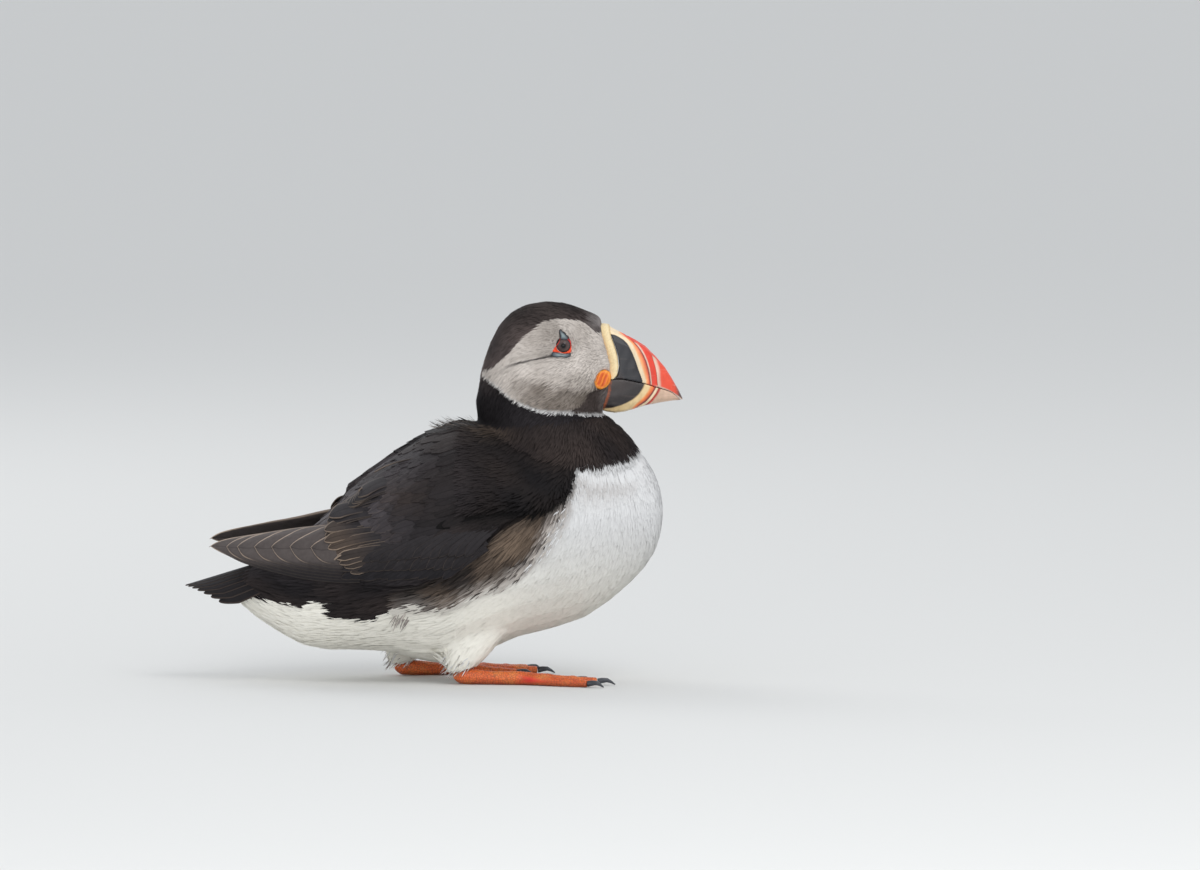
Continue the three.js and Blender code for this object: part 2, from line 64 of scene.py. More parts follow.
# Outlines and edges of the markings, seen from the side, each point (x, z).
FACE = [
    (21.4, 135.4), (23.4, 137), (28, 139.4), (32.4, 142.8), (37.5, 147), (42, 151), (46.4, 154.2),
    (50.8, 156.6), (55.7, 157.4), (60.7, 157), (64.5, 156.2), (68, 154.4), (70.4, 152.6), (72.6, 150.8),
    (77, 150.6), (84, 146), (82, 126), (76.4, 118.4), (74.4, 115.9), (67, 116.2), (60.7, 117.3),
    (55.5, 117.7), (49.2, 118.1), (42.8, 120), (37, 122.9), (31.9, 126.4), (26.8, 130.7), (23, 133.8),
]
CHIN = [
    (60.4, 118.7), (64, 121), (67.2, 124), (69.4, 127.6), (78, 129.6), (79, 118.2), (74, 117.5),
    (67, 117.8),
]
CREASE = [(53.2, 143), (50.4, 142.6), (47, 142), (42.5, 141.4), (38.5, 140.7), (34.6, 139.6), (31.6, 138)]
LEDGE = [
    (4, 74.6), (8, 75.4), (11.6, 76.2), (20, 77.8), (29, 78.8), (38, 79.2), (48.6, 80), (57, 82), (61, 85),
]
COLLAR_FRONT = [
    (58, 94.6), (61.7, 94.9), (66, 95.6), (72.5, 96.6), (79.1, 97.6), (83.4, 98.6), (86.4, 101),
    (88.2, 105.2),
]
COLLAR_BACK = [(19.4, 112.6), (34, 105.6), (62, 95.6), (80, 94), (98, 94)]
WAIST = [
    (-90, 33), (-82, 33), (-69, 32.4), (-52, 31.8), (-45.5, 35.5), (-40.5, 34.4), (-37.5, 29.4), (-32, 29),
    (-19, 29.6), (-16, 33.2), (-8, 34.7), (9.5, 35.6), (20.3, 41.2), (33, 46.4), (41.5, 52), (46.5, 58.5),
    (50.5, 66), (54, 73), (57.8, 81), (60.6, 88), (61.7, 94.9),
]
WING_EDGE = [
    (61, 98.4), (61.8, 94), (60.4, 86.6), (56, 81.6), (50, 77.2), (40.6, 75), (31, 69.8), (22, 61.6),
    (12, 52.6), (2, 47.6), (-8, 43.4), (-24, 43.6), (-40, 44.4), (-52, 47), (-50, 76), (-38, 86), (-24, 98),
    (-8, 108), (6, 116), (20, 117), (40, 114), (56, 106),
]

# Edges that run upwards, each point (z, x): where the feathers end at the bill, and the cere's front.
FEATHER_LINE = [
    (112, 72.4), (117.2, 73.4), (121.8, 75.1), (126, 76.4), (131.3, 76.9), (135, 77.4), (139, 77.1),
    (143.6, 76), (148, 74.4), (153.9, 72.8), (158.6, 71.6), (163, 66),
]
CERE_FRONT = [
    (130.9, 77.6), (133.2, 79.9), (137, 80.6), (141.4, 80.1), (145.7, 78.9), (150, 77.3), (153.1, 75.9),
    (156.6, 74.8), (160, 74),
]
GAPE = [(66, 131.6), (82, 131.4), (92, 129.5), (101, 126.7), (106.2, 123.6), (109.4, 120.8)]

# Round the eye's middle: the outer edge of the lids, and the two small plates on them.
LID_OUTER = [
    (-4.8, -2.4), (-4.05, -1.3), (-3.1, 0.05), (-2.25, 1.3), (-1.8, 2.2), (-1.65, 3.6), (-1.85, 5.2),
    (-1.9, 6.6), (-1.3, 6.9), (0.4, 5.8), (1.7, 4.5), (2.5, 3.3), (3.1, 2.0), (3.35, 0.7), (3.5, -0.8),
    (3.45, -2.2), (3.1, -3.1), (1.8, -3.45), (0.2, -3.45), (-1.1, -3.25), (-2.4, -2.95), (-3.8, -2.8),
]
BROW_PLATE = [
    (-1.75, 6.55), (-1.1, 6.5), (0.2, 5.5), (1.2, 4.5), (1.95, 3.5), (2.2, 2.85), (1.1, 2.6), (-0.3, 2.65),
    (-1.25, 2.95), (-1.3, 4.1), (-1.6, 5.4),
]
CHEEK_PLATE = [
    (-5.1, -3.2), (-4.4, -2.7), (-3.2, -2.75), (-2.2, -3.1), (-1, -3.45), (0.4, -3.6), (1.8, -3.55),
    (3.0, -3.2), (3.3, -4.0), (2.7, -4.9), (1.2, -5.2), (0, -5.0), (-1.1, -4.7), (-2.4, -4.95),
    (-4.1, -4.7), (-5.1, -4.1),
]

# How light the face is: place (x, z) and grey, 0 to 255, before it is lifted.
# The greys hold the face's own tone and painted shade, darkest low on the cheek.
FACE_LIFT = 1.1
FACE_TONES = [
    (72, 146, 188), (70, 138, 188), (65, 150, 174), (64, 141, 202), (57, 139, 192), (64, 132, 164),
    (59, 126, 112), (66, 124, 96), (55, 122, 102), (60, 155, 190), (51, 154, 156), (46, 152, 168),
    (40, 146, 186), (42, 138, 196), (33, 140, 186), (49, 136, 182), (49, 128, 112), (40, 130, 150),
    (31, 132, 186), (26, 134, 182), (43, 124, 124), (56, 133, 180), (35, 126, 168),
]

# The way the feathers lie, as a comb would leave them: place (x, z) and direction (x, z).
COMBING = [
    (70, 161, -0.85, 0.5), (52, 165, -1, 0.05), (34, 159, -0.75, -0.65), (23, 142, -0.2, -1),
    (20, 120, 0.05, -1), (72, 150, -0.95, 0.3), (57, 156, -1, 0), (45, 150, -0.93, -0.36),
    (30, 138, -0.8, -0.6), (60, 138, -0.88, -0.47), (48, 126, -0.88, -0.47), (66, 130, -0.75, -0.66),
    (76, 122, -0.45, -0.9), (34, 112, -0.35, -0.94), (60, 108, -0.2, -1), (86, 110, 0.25, -1),
    (78, 101, 0, -1), (99, 80, 0, -1), (92, 58, -0.25, -1), (82, 42, -0.5, -0.86), (72, 84, -0.2, -1),
    (66, 60, -0.45, -0.9), (64, 92, 0.15, -1), (62, 86, 0.1, -1), (60, 34, -0.8, -0.6), (42, 14, -1, -0.15),
    (0, 9, -1, 0), (30, 36, -0.92, -0.4), (0, 24, -0.98, -0.2), (-40, 20, -1, 0.05), (-76, 28, -0.95, 0.3),
    (52, 66, -0.62, -0.78), (34, 54, -0.8, -0.6), (4, 40, -0.93, -0.36), (-24, 35, -0.98, -0.2),
    (-60, 38, -1, 0.05), (14, 112, -1, -0.1), (-20, 97, -0.93, -0.37), (-52, 74, -0.94, -0.34),
    (-82, 54, -0.98, -0.2), (54, 96, -0.8, -0.6), (24, 92, -0.95, -0.32), (0, 72, -0.93, -0.37),
    (34, 78, -0.9, -0.44), (-30, 58, -0.95, -0.3), (18, 14, -0.55, -0.84), (28, 8, -0.75, -0.66),
]


def paint(red, green, blue):
    """A colour as it is seen, 0 to 255, made linear for the shaders."""
    seen = np.array([red, green, blue]) / 255
    linear = np.where(seen < 0.04045, seen / 12.92, ((seen + 0.055) / 1.055) ** 2.4)
    return (*linear, 1.0)


WHITE = paint(224, 224, 224)
CREAM_WHITE = paint(242, 239, 229)
BLACK = paint(33, 30, 32)
CROWN_BROWN = paint(86, 76, 73)
WING_GREY = paint(76, 71, 74)
WING_BROWN = paint(62, 53, 50)
WING_DUSK = paint(46, 43, 45)
FLANK_BROWN = paint(112, 96, 82)
FLANK_DARK = paint(41, 36, 34)
FLANK_GREY = paint(158, 150, 145)
FLANK_PALE = paint(198, 190, 182)
FACE_FROST = paint(150, 144, 142)
CHIN_BROWN = paint(72, 63, 60)
VANE_EDGE = paint(146, 128, 114)

# ---------------------------------------------------------------- meshes as arrays

FIELDS = {"FLOAT": "value", "FLOAT_VECTOR": "vector", "FLOAT_COLOR": "color"}


def listed(items, field, width):
    """One number, or a row of numbers, for each item of a mesh's list."""
    whole = field in ("vertex_index", "loop_total", "vertices")
    flat = np.empty(len(items) * width, np.int32 if whole else np.float32)
    items.foreach_get(field, flat)
    if whole:
        return flat if width == 1 else flat.reshape(-1, width)
    return flat.reshape(-1, width).astype(float)


def points_of(mesh):
    return listed(mesh.vertices, "co", 3) / MM


def normals_of(mesh):
    return listed(mesh.vertex_normals, "vector", 3)


def move_points(mesh, points):
    mesh.vertices.foreach_set("co", (points * MM).astype(np.float32).ravel())
    mesh.update()


def store(mesh, kind, **named):
    """Keeps one value for each vertex under each name, for materials and node trees to read."""
    for name, values in named.items():
        layer = mesh.attributes.get(name) or mesh.attributes.new(name, kind, "POINT")
        layer.data.foreach_set(FIELDS[kind], np.ascontiguousarray(values, np.float32).ravel())


def stored(mesh, name):
    layer = mesh.attributes[name]
    width = {"FLOAT": 1, "FLOAT_VECTOR": 3, "FLOAT_COLOR": 4}[layer.data_type]
    rows = listed(layer.data, FIELDS[layer.data_type], width)
    return rows[:, 0] if width == 1 else rows


def set_bake_map(mesh, places):
    """Puts each vertex at its place, 0 to 1, on the map that the finish is baked to."""
    corner = listed(mesh.loops, "vertex_index", 1)
    for layer in list(mesh.uv_layers):
        mesh.uv_layers.remove(layer)
    mesh.uv_layers.new(name="OFBake").data.foreach_set("uv", places[corner].astype(np.float32).ravel())


def lean_normals(mesh, facing, share):
    """Turns the shading of outward faces the way the skin under them faces: soft barbs even out the light."""
    corner = listed(mesh.loops, "vertex_index", 1)
    face = np.repeat(listed(mesh.polygons, "normal", 3), listed(mesh.polygons, "loop_total", 1), axis=0)
    aim = facing[corner]
    agree = (face * aim).sum(1)
    share = (share * step(0.1, 0.55, agree))[:, None]
    own = np.where(agree[:, None] > 0.1, normals_of(mesh)[corner], face)
    mesh.normals_split_custom_set(unit(own * (1 - share) + aim * share).tolist())


def new_piece(name, mesh, material=None):
    piece = bpy.data.objects.new(name, mesh)
    bpy.context.scene.collection.objects.link(piece)
    if material:
        mesh.materials.clear()
        mesh.materials.append(material)
    return piece


def finished(piece, slot, *cad_names):
    """Sets a piece on the body, in place of the CAD nodes it stands for. Its slot is not used."""
    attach(piece, BODY)
    if cad_names:
        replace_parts(piece, *cad_names)
    return piece


def mesh_from(name, points, faces):
    mesh = bpy.data.meshes.new(name)
    mesh.from_pydata([tuple(p) for p in np.asarray(points) * MM], [], faces)
    mesh.shade_smooth()
    return mesh


def face_outwards(mesh):
    """Turns the faces of a closed form outwards."""
    shell = bmesh.new()
    shell.from_mesh(mesh)
    bmesh.ops.recalc_face_normals(shell, faces=shell.faces)
    shell.to_mesh(mesh)
    shell.free()


def discard(piece):
    mesh = piece.data
    bpy.data.objects.remove(piece)
    bpy.data.meshes.remove(mesh)


def settled(piece, name):
    """The mesh of a piece with its modifiers worked in, as plain data, in place of the piece."""
    bpy.context.view_layer.update()
    evaluated = piece.evaluated_get(bpy.context.evaluated_depsgraph_get())
    mesh = bpy.data.meshes.new_from_object(evaluated)
    mesh.name = name
    discard(piece)
    return mesh


def one_form(name, cad_names, voxel, smoothing):
    """CAD nodes joined into one smooth closed mesh of even squares."""
    joined = bmesh.new()
    for cad_name in cad_names:
        joined.from_mesh(nodes[cad_name].data)
    bmesh.ops.remove_doubles(joined, verts=joined.verts, dist=0.01 * MM)
    rough = bpy.data.meshes.new(name)
    joined.to_mesh(rough)
    joined.free()
    piece = new_piece(name, rough)
    remesh = piece.modifiers.new("remesh", "REMESH")
    remesh.mode = "VOXEL"
    remesh.voxel_size = voxel * MM
    smooth = piece.modifiers.new("smooth", "SMOOTH")
    smooth.factor = 0.5
    smooth.iterations = smoothing
    mesh = settled(piece, name)
    mesh.shade_smooth()
    return mesh


def eased(mesh, rounds):
    """Evens out small bumps by moving each vertex towards the middle of its neighbours."""
    points = points_of(mesh)
    a, b = listed(mesh.edges, "vertices", 2).T
    count = np.bincount(np.concatenate([a, b]), minlength=len(points))[:, None]
    for _ in range(rounds):
        total = [np.bincount(np.append(a, b), np.append(c[b], c[a]), len(points)) for c in points.T]
        points += 0.5 * (np.stack(total, axis=1) / count - points)
    move_points(mesh, points)


def cad_tree(*names):
    """A search tree over CAD nodes, in millimetres."""
    points, faces = [], []
    for name in names:
        mesh = nodes[name].data
        first = len(points)
        points += [Vector(p) for p in points_of(mesh)]
        faces += [tuple(first + v for v in face.vertices) for face in mesh.polygons]
    return BVHTree.FromPolygons(points, faces)


def met(tree, start, way):
    """Where a line first meets a tree's surface."""
    return tree.ray_cast(Vector(start), Vector(way))[0] or Vector((math.nan,) * 3)


def sheet_faces(rows, columns):
    """The faces of a thin closed sheet, whose top points come first, row by row, and then its underside's."""
    sheet = rows * columns
    faces = []
    for i in range(rows - 1):
        for j in range(columns - 1):
            a = i * columns + j
            quad = (a, a + 1, a + columns + 1, a + columns)
            faces += [quad, tuple(sheet + k for k in reversed(quad))]
    rim = list(range(columns)) + [i * columns + columns - 1 for i in range(1, rows)]
    rim += [(rows - 1) * columns + j for j in range(columns - 2, -1, -1)]
    rim += [i * columns for i in range(rows - 2, 0, -1)]
    return faces + [(b, a, sheet + a, sheet + b) for a, b in zip(rim, rim[1:] + rim[:1])]


# ---------------------------------------------------------------- lines and fields, worked on whole arrays


def smooth_line(points, steps=6, closed=False):
    """A curve through all the points."""
    p = np.array(points, float)
    before, after = (p[-1:], p[:2]) if closed else (2 * p[:1] - p[1:2], 2 * p[-1:] - p[-2:-1])
    q = np.concatenate([before, p, after])
    t = np.linspace(0, 1, steps, endpoint=False)[None, :, None]
    a, b, c, d = (q[i : len(q) - 3 + i, None, :] for i in range(4))
    curve = b + 0.5 * t * (c - a + t * (2 * a - 5 * b + 4 * c - d + t * (3 * (b - c) + d - a)))
    curve = curve.reshape(-1, p.shape[1])
    return curve if closed else np.concatenate([curve, p[-1:]])


def from_line(line, x, z):
    """The distance to an open line."""
    near = np.full(len(x), 1e9)
    for (ax, az), (bx, bz) in zip(line[:-1], line[1:]):
        along = ((x - ax) * (bx - ax) + (z - az) * (bz - az)) / max((bx - ax) ** 2 + (bz - az) ** 2, 1e-9)
        along = np.clip(along, 0, 1)
        near = np.minimum(near, np.hypot(x - ax - along * (bx - ax), z - az - along * (bz - az)))
    return near


def inside(outline, x, z):
    """How far (x, z) lies inside a closed outline, and minus how far outside it."""
    ring = np.concatenate([outline, outline[:1]])
    odd = np.zeros(len(x), bool)
    for (ax, az), (bx, bz) in zip(ring[:-1], ring[1:]):
        if az != bz:
            odd ^= ((az > z) != (bz > z)) & (x < ax + (z - az) / (bz - az) * (bx - ax))
    return np.where(odd, 1, -1) * from_line(ring, x, z)


def over(line, at):
    """The second value of a line of points where its first value is `at`."""
    curve = smooth_line(sorted(line))
    return np.interp(at, curve[:, 0], curve[:, 1])


def weighed(marks, x, z, reach):
    """Values given at a few places, each (x, z, value...), blended between them by distance."""
    total = 0
    for mark_x, mark_z, *values in marks:
        weight = 1 / ((x - mark_x) ** 2 + (z - mark_z) ** 2 + reach) ** 2
        total = total + weight[:, None] * np.array([*values, 1])
    return total[:, :-1] / total[:, -1:]


def step(low, high, value):
    """0 below low, 1 above high, and a soft rise between."""
    t = np.clip((value - low) / (high - low), 0, 1)
    return t * t * (3 - 2 * t)


def hump(value, width):
    return np.exp(-((value / width) ** 2))


def softened(value, width):
    """The value where it is above 0, easing to 0 below."""
    return 0.5 * (value + np.sqrt(value**2 + width**2))


def unit(ways):
    return ways / (np.linalg.norm(ways, axis=-1, keepdims=True) + 1e-9)


def blended(first, second, share):
    share = np.asarray(share)[..., None]
    return np.asarray(first) * (1 - share) + np.asarray(second) * share


def between(ends, share):
    """The place, or the number, a share of the way from the first of two to the second."""
    return np.array(ends[0]) * (1 - share) + np.array(ends[1]) * share


def ripple(points, size, seed=0):
    """Smooth irregular noise, about -1 to 1, whose patches are about `size` across."""
    turns = np.random.default_rng(seed)
    total = np.zeros(len(points))
    for _ in range(7):
        way = turns.normal(size=3)
        way *= turns.uniform(1.6, 4.2) / np.linalg.norm(way) / size
        total += np.sin(points @ way + turns.uniform(0, 2 * math.pi))
    return total / 3


# ---------------------------------------------------------------- where the bird's parts and markings are

face_outline = smooth_line(FACE, closed=True)
chin_outline = smooth_line(CHIN, closed=True)
wing_outline = smooth_line(WING_EDGE, closed=True)
crease_line = smooth_line(CREASE)


def in_front_of_feathers(points):
    """How far a point of the head lies into the bill's side of the feathers' edge."""
    x, z = points.T[::2]
    return np.where(z > 113, x - over(FEATHER_LINE, z), -9.0)


def around_eye(points):
    """The distance from the eye's middle, seen from the side."""
    return np.hypot(points[:, 0] - EYE["x"], points[:, 2] - EYE["z"])


def in_face_at(points):
    """How far a point lies inside the pale face, which leaves a dark stripe down the nape."""
    x, y, z = points.T
    return np.minimum(inside(face_outline, x, z), np.abs(y) - 4.5 + 40 * step(34, 44, x))


def in_wing_at(points):
    """How far a point lies inside the folded wing's outline, seen from the side."""
    return inside(wing_outline, *points.T[::2])


def head_share(points):
    """1 on the head and 0 on the neck and body."""
    x, z = points.T[::2]
    return step(111.5, 117.5, z - 0.05 * (x - 50))


def white_below(points):
    """How far a point lies into the white underparts, from the dark back, wings and collar."""
    x, z = points.T[::2]
    behind = over(WAIST, np.clip(x, -90, 61.7)) - z
    in_front = over(COLLAR_FRONT, np.clip(x, 58, 88.2)) - z
    return np.where(x < 61.7, behind, in_front)


def combed(points, normals):
    """The way the feathers lie at each point, along the surface."""
    x, z = points.T[::2]
    way = np.insert(weighed(COMBING, x, z, 25), 1, 0, axis=1)
    loose = 0.1 - 0.06 * head_share(points)
    way += loose[:, None] * np.stack([ripple(points, 14, k) for k in (3, 4, 5)], axis=1)
    far = around_eye(points)[:, None] + 1e-6
    outwards = np.stack([x - EYE["x"], 0 * x, z - EYE["z"]], axis=1) / far
    into_eye = np.minimum((way * outwards).sum(1, keepdims=True), 0)
    way -= into_eye * outwards * (1 - step(5.5, 11, far))
    return unit(way - normals * (way * normals).sum(1, keepdims=True))


def ledge_height(points):
    """How far a point lies above the lower edge of the shoulder feathers."""
    return points[:, 2] - over(LEDGE, np.clip(points[:, 0], 4, 61))


def on_shoulder(points):
    """1 where the shoulder feathers overhang the wing, fading out towards the back and the tail."""
    high = ledge_height(points)
    shown = step(0, 16, points[:, 0]) * step(63, 57, points[:, 0]) * step(12, 18, np.abs(points[:, 1]))
    return shown * step(-1.4, 0.8, high) * step(22, 2, high)


def coat_depth(points):
    """How thick the coat is over the skin."""
    x, y, z = points.T
    body = 1.0 + 0.7 * step(40, 10, x) + 0.6 * step(-10, -60, x)
    wing = step(-1, 2, in_wing_at(points)) * step(15, 24, np.abs(y))
    body = body * (1 - wing) + 1.2 * wing
    head = 0.8 + 0.4 * step(36, 22, x)
    on_head = head_share(points)
    depth = body * (1 - on_head) + head * on_head
    depth = np.minimum(depth, 0.3 + 0.12 * np.maximum(-in_front_of_feathers(points), 0))
    return np.where(z < 14, np.minimum(depth, 1.2), depth)


def face_shade(points):
    """The warm grey of the face, partly painted shade, with a white fringe along its lower edge."""
    x, z = points.T[::2]
    grey = FACE_LIFT * weighed(FACE_TONES, x, z, 6) + 3 * ripple(points, 5, 9)[:, None]
    colour = np.ones((len(x), 4))
    colour[:, :3] = np.clip((grey + [5, -4, -12]) / 255, 0, 1) ** 2.2
    rim = step(2.4, 0.8, in_face_at(points)) * step(137, 130, z)
    return blended(colour, WHITE, rim * (0.45 + 0.3 * step(28, 44, x)))


def flank_fade(points, reach):
    """How far the flank's front edge has faded at a point, from 0 a reach away to 1 at the white border."""
    x, z = points.T[::2]
    near_border = step(0, 1, 1 - white_below(points) / (reach * (1 + 2.6 * step(46, 56, x))))
    return near_border * (0.5 * step(-12, -8, x) + 0.5 * step(26, 42, x)) * step(95, 89, z)


def flank_colour(points, luck, drift):
    """Warm brown under the wing's bend, darker and streaked towards the rear."""
    x, z = points.T[::2]
    along, across = 0.85 * (x - 40) + 0.53 * (z - 67), 0.85 * (z - 67) - 0.53 * (x - 40)
    warm = hump(np.hypot(along / 2.1, across), 6)
    flank = blended(FLANK_DARK, FLANK_BROWN, np.clip(0.06 + 0.86 * warm + 0.22 * drift * (1 - warm), 0, 1))
    flank = flank * (1 + (0.6 + 0.8 * (1 - warm)) * (luck - 0.5))[:, None]
    return blended(flank, FLANK_GREY, flank_fade(points, -9) * (0.15 + 0.75 * luck))


def white_colour(points, luck):
    """Creamier and a little lighter low down and behind, shaded under the breast, grey by the flank."""
    x, z = points.T[::2]
    level = 1 - 0.12 * step(88, 66, z) * step(30, 60, x) + 0.06 * step(-10, -40, x)
    white = blended(WHITE, CREAM_WHITE, step(80, 30, z)) * (level * (1 + 0.05 * (luck - 0.5)))[:, None]
    return blended(white, FLANK_GREY, flank_fade(points, 4.8) * np.clip(1.3 * luck - 0.1, 0, 0.78))


def dark_colour(points, luck, drift):
    """The black of back, wings and collar, browner in patches, greyer behind as a painted sheen, with painted
    shadow under the shoulder's ledge.
    """
    x, y, z = points.T
    dark = blended(BLACK, WING_BROWN, np.clip(0.22 + 0.3 * drift, 0, 0.7))
    # A painted sheen: the black turns greyer towards the back and tail.
    greyer = step(34, -30, x) * np.clip(0.6 + 0.4 * ripple(points, 15, 12), 0, 1) * step(40, 56, z)
    dark = blended(dark, WING_GREY, greyer)
    dark = blended(dark, WING_BROWN, 0.8 * step(40, 54, x) * step(94, 100, z) * (0.7 + 0.3 * drift))
    dark = blended(dark, FLANK_BROWN, 0.4 * hump(np.hypot((x - 26) / 2.4, z - 110.5), 3.4) * (luck + 0.3))
    # Painted shadow: a darker band just under the shoulder's ledge, where the overhanging tufts shade the
    # wing.
    under_ledge = hump(ledge_height(points) + 2.2, 1.9) * step(2, 12, x) * step(62, 57, x)
    dark = dark * ((1 + 0.35 * (luck - 0.5)) * (1 - 0.86 * under_ledge))[:, None]
    on_flank = step(-12, -9, x) * step(-1, 1.5, -in_wing_at(points))
    on_flank = on_flank * step(20, 26, np.abs(y)) * step(84, 80, z)
    return blended(dark, flank_colour(points, luck, drift), on_flank * (1 - head_share(points)))


def head_colour(points, luck, drift):
    """The dark crown and nape, the pale face in its outline, the smoky chin, and a dark line in the crease
    behind the eye that is partly painted shade.
    """
    x, z = points.T[::2]
    level = 1.65 - 0.98 * step(146, 162, z) - 0.65 * step(134, 122, z) * step(40, 30, x)
    crown = blended(BLACK, CROWN_BROWN, step(124, 142, z) * (0.7 + 0.3 * drift))
    crown = crown * (level * (1 + 0.5 * (luck - 0.5)))[:, None]
    crown = blended(crown, FACE_FROST, 0.8 * hump(np.hypot(x - 72.5, (z - 156.5) / 1.4), 2.8))
    contrast = 0.15 + 0.55 * step(142, 126, z)
    cheek = face_shade(points) * (1 + contrast * (luck - 0.5))[:, None]
    fringe = 0.5 * (luck - 0.5) + 0.1 * step(140, 125, z) * ripple(points, 1.1, 31)
    head = np.where((in_face_at(points) + fringe > 0)[:, None], cheek, crown)
    chin = blended(CHIN_BROWN, FACE_FROST, 0.35 * step(71, 77, x)) * (1 + 0.5 * (luck - 0.5))[:, None]
    in_chin = inside(chin_outline, x, z) + 0.8 * (luck - 0.5) > 0
    head = np.where(in_chin[:, None], chin, head)
    # The dark line along the crease behind the eye is partly the face's own mark and partly painted shade in
    # the fold.
    return blended(head, BLACK, 0.88 * hump(from_line(crease_line, x, z + 0.2), 0.62) * step(29, 40, x))


def plumage_colour(points, luck):
    """The colour of the coat rooted at each point. Luck, 0 to 1, sets one feather apart from the next."""
    x, z = points.T[::2]
    drift = ripple(points, 9, 8)
    frayed = step(-12, -4, x) * step(90, 84, z) * step(64, 60, x)
    ragged = 1.5 * ripple(points, 3.2, 21) * step(75, 55, x) * step(-66, -46, x)
    ragged += 0.4 * ripple(points, 1.6, 5)
    ragged += (luck - 0.5) * (1.2 + 4 * frayed)
    is_white = white_below(points) + ragged > 0
    body = np.where(is_white[:, None], white_colour(points, luck), dark_colour(points, luck, drift))
    above_collar = (head_share(points) > 0.5) | (in_face_at(points) > -0.5)
    colour = np.where(above_collar[:, None], head_colour(points, luck, drift), body)
    colour[:, 3] = 1
    return np.clip(colour, 0, 1)


# ---------------------------------------------------------------- materials


def add(tree, kind, inputs=(), **settings):
    """A node with its settings, its constants and its links. Inputs are given by name or number."""
    node = tree.nodes.new(kind)
    for name, value in settings.items():
        setattr(node, name, value)
    for key, value in dict(inputs).items():
        if isinstance(value, bpy.types.NodeSocket):
            tree.links.new(value, node.inputs[key])
        else:
            node.inputs[key].default_value = value
    return node


def math_node(tree, operation, first, second=0.0, third=0.5):
    return add(tree, "ShaderNodeMath", {0: first, 1: second, 2: third}, operation=operation).outputs[0]


def attribute(tree, name, output="Fac"):
    return add(tree, "ShaderNodeAttribute", attribute_name=name).outputs[output]


def ramp(tree, value, *stops):
    """Shades, or colours as they are seen, along a value from 0 to 1. A stop is (place, shade or colour)."""
    node = add(tree, "ShaderNodeValToRGB", {"Fac": value})
    while len(node.color_ramp.elements) < len(stops):
        node.color_ramp.elements.new(1)
    for element, (place, colour) in zip(node.color_ramp.elements, stops):
        element.position = place
        element.color = paint(*colour) if isinstance(colour, tuple) else (colour, colour, colour, 1)
    return node.outputs["Color"]


def mixed(tree, share, first, second, blend="MIX"):
    inputs = {0: share, 6: first, 7: second}
    return add(tree, "ShaderNodeMix", inputs, data_type="RGBA", blend_type=blend).outputs[2]


def toned(tree, share, first, second):
    return mixed(tree, share, first, second, "MULTIPLY")


def noise(tree, place, scale, detail=3.0):
    return add(tree, "ShaderNodeTexNoise", {"Vector": place, "Scale": scale, "Detail": detail}).outputs["Fac"]


def stretched(tree, place, scale, turn=(0, 0, 0)):
    return add(tree, "ShaderNodeMapping", {"Vector": place, "Scale": scale, "Rotation": turn}).outputs[0]


def split(tree, vector):
    return add(tree, "ShaderNodeSeparateXYZ", {0: vector}).outputs


def finish(name, recipe, roughness, height=None, **constants):
    """A material whose colour, and where it has one its bump, come from a recipe of nodes.

    The recipe is given the tree and the place on the object, and returns the colour and the bump's height.
    """
    material = bpy.data.materials.new(name)
    material.use_nodes = True
    tree = material.node_tree
    shader = tree.nodes["Principled BSDF"]
    place = add(tree, "ShaderNodeTexCoord").outputs["Object"]
    colour, bump = recipe(tree, place)
    tree.links.new(colour, shader.inputs["Base Color"])
    shader.inputs["Roughness"].default_value = roughness
    for key, value in constants.items():
        shader.inputs[key.replace("_", " ")].default_value = value
    if bump is not None:
        relief = add(tree, "ShaderNodeBump", {"Strength": 1.0, "Distance": height, "Height": bump})
        tree.links.new(relief.outputs[0], shader.inputs["Normal"])
    return material


def tuft_recipe(root_shade, grain_scale):
    """Soft barbs, shaded towards the root where each tuft slips under the next."""

    def recipe(tree, place):
        shape = split(tree, attribute(tree, "shape", "Vector"))
        shaded = ramp(tree, shape[1], (0.0, root_shade), (0.5, 0.5 + 0.5 * root_shade), (1.0, 1.0))
        grain = noise(tree, place, grain_scale)
        mottled = toned(tree, 0.3, shaded, ramp(tree, grain, (0.3, 0.86), (0.7, 1.0)))
        return toned(tree, 1.0, attribute(tree, "tint", "Color"), mottled), grain

    return recipe


BARB_GAP = 0.5


def vane_recipe(tree, place):
    """A feather's vane, from its places in millimetres: off the shaft, down it, and in from the edge."""
    off_shaft, down, inset = split(tree, attribute(tree, "vane", "Vector"))
    slant = math_node(tree, "SUBTRACT", down, off_shaft)
    barbs = math_node(tree, "SINE", math_node(tree, "MULTIPLY", slant, 2 * math.pi / BARB_GAP))
    wear = noise(tree, place, 600.0, 4.0)
    frayed = math_node(tree, "SUBTRACT", inset, math_node(tree, "MULTIPLY", wear, 0.3))
    rim = ramp(tree, frayed, (0.0, 1.0), (0.12, 1.0), (0.3, 0.0))
    edge = math_node(tree, "MULTIPLY", rim, attribute(tree, "worn"))
    streak = ramp(tree, noise(tree, place, 500.0, 4.0), (0.3, 0.78), (0.7, 1.12))
    body = toned(tree, 0.7, attribute(tree, "tint", "Color"), ramp(tree, off_shaft, (0.05, 0.5), (0.25, 1.0)))
    body = toned(tree, 0.6, body, streak)
    return mixed(tree, edge, body, attribute(tree, "edge", "Color")), barbs


def skin_recipe(tree, place):
    grain = noise(tree, place, 1400.0, 4.0)
    tint = attribute(tree, "tint", "Color")
    return toned(tree, 1.0, tint, ramp(tree, grain, (0.3, 0.7), (0.7, 0.9))), grain


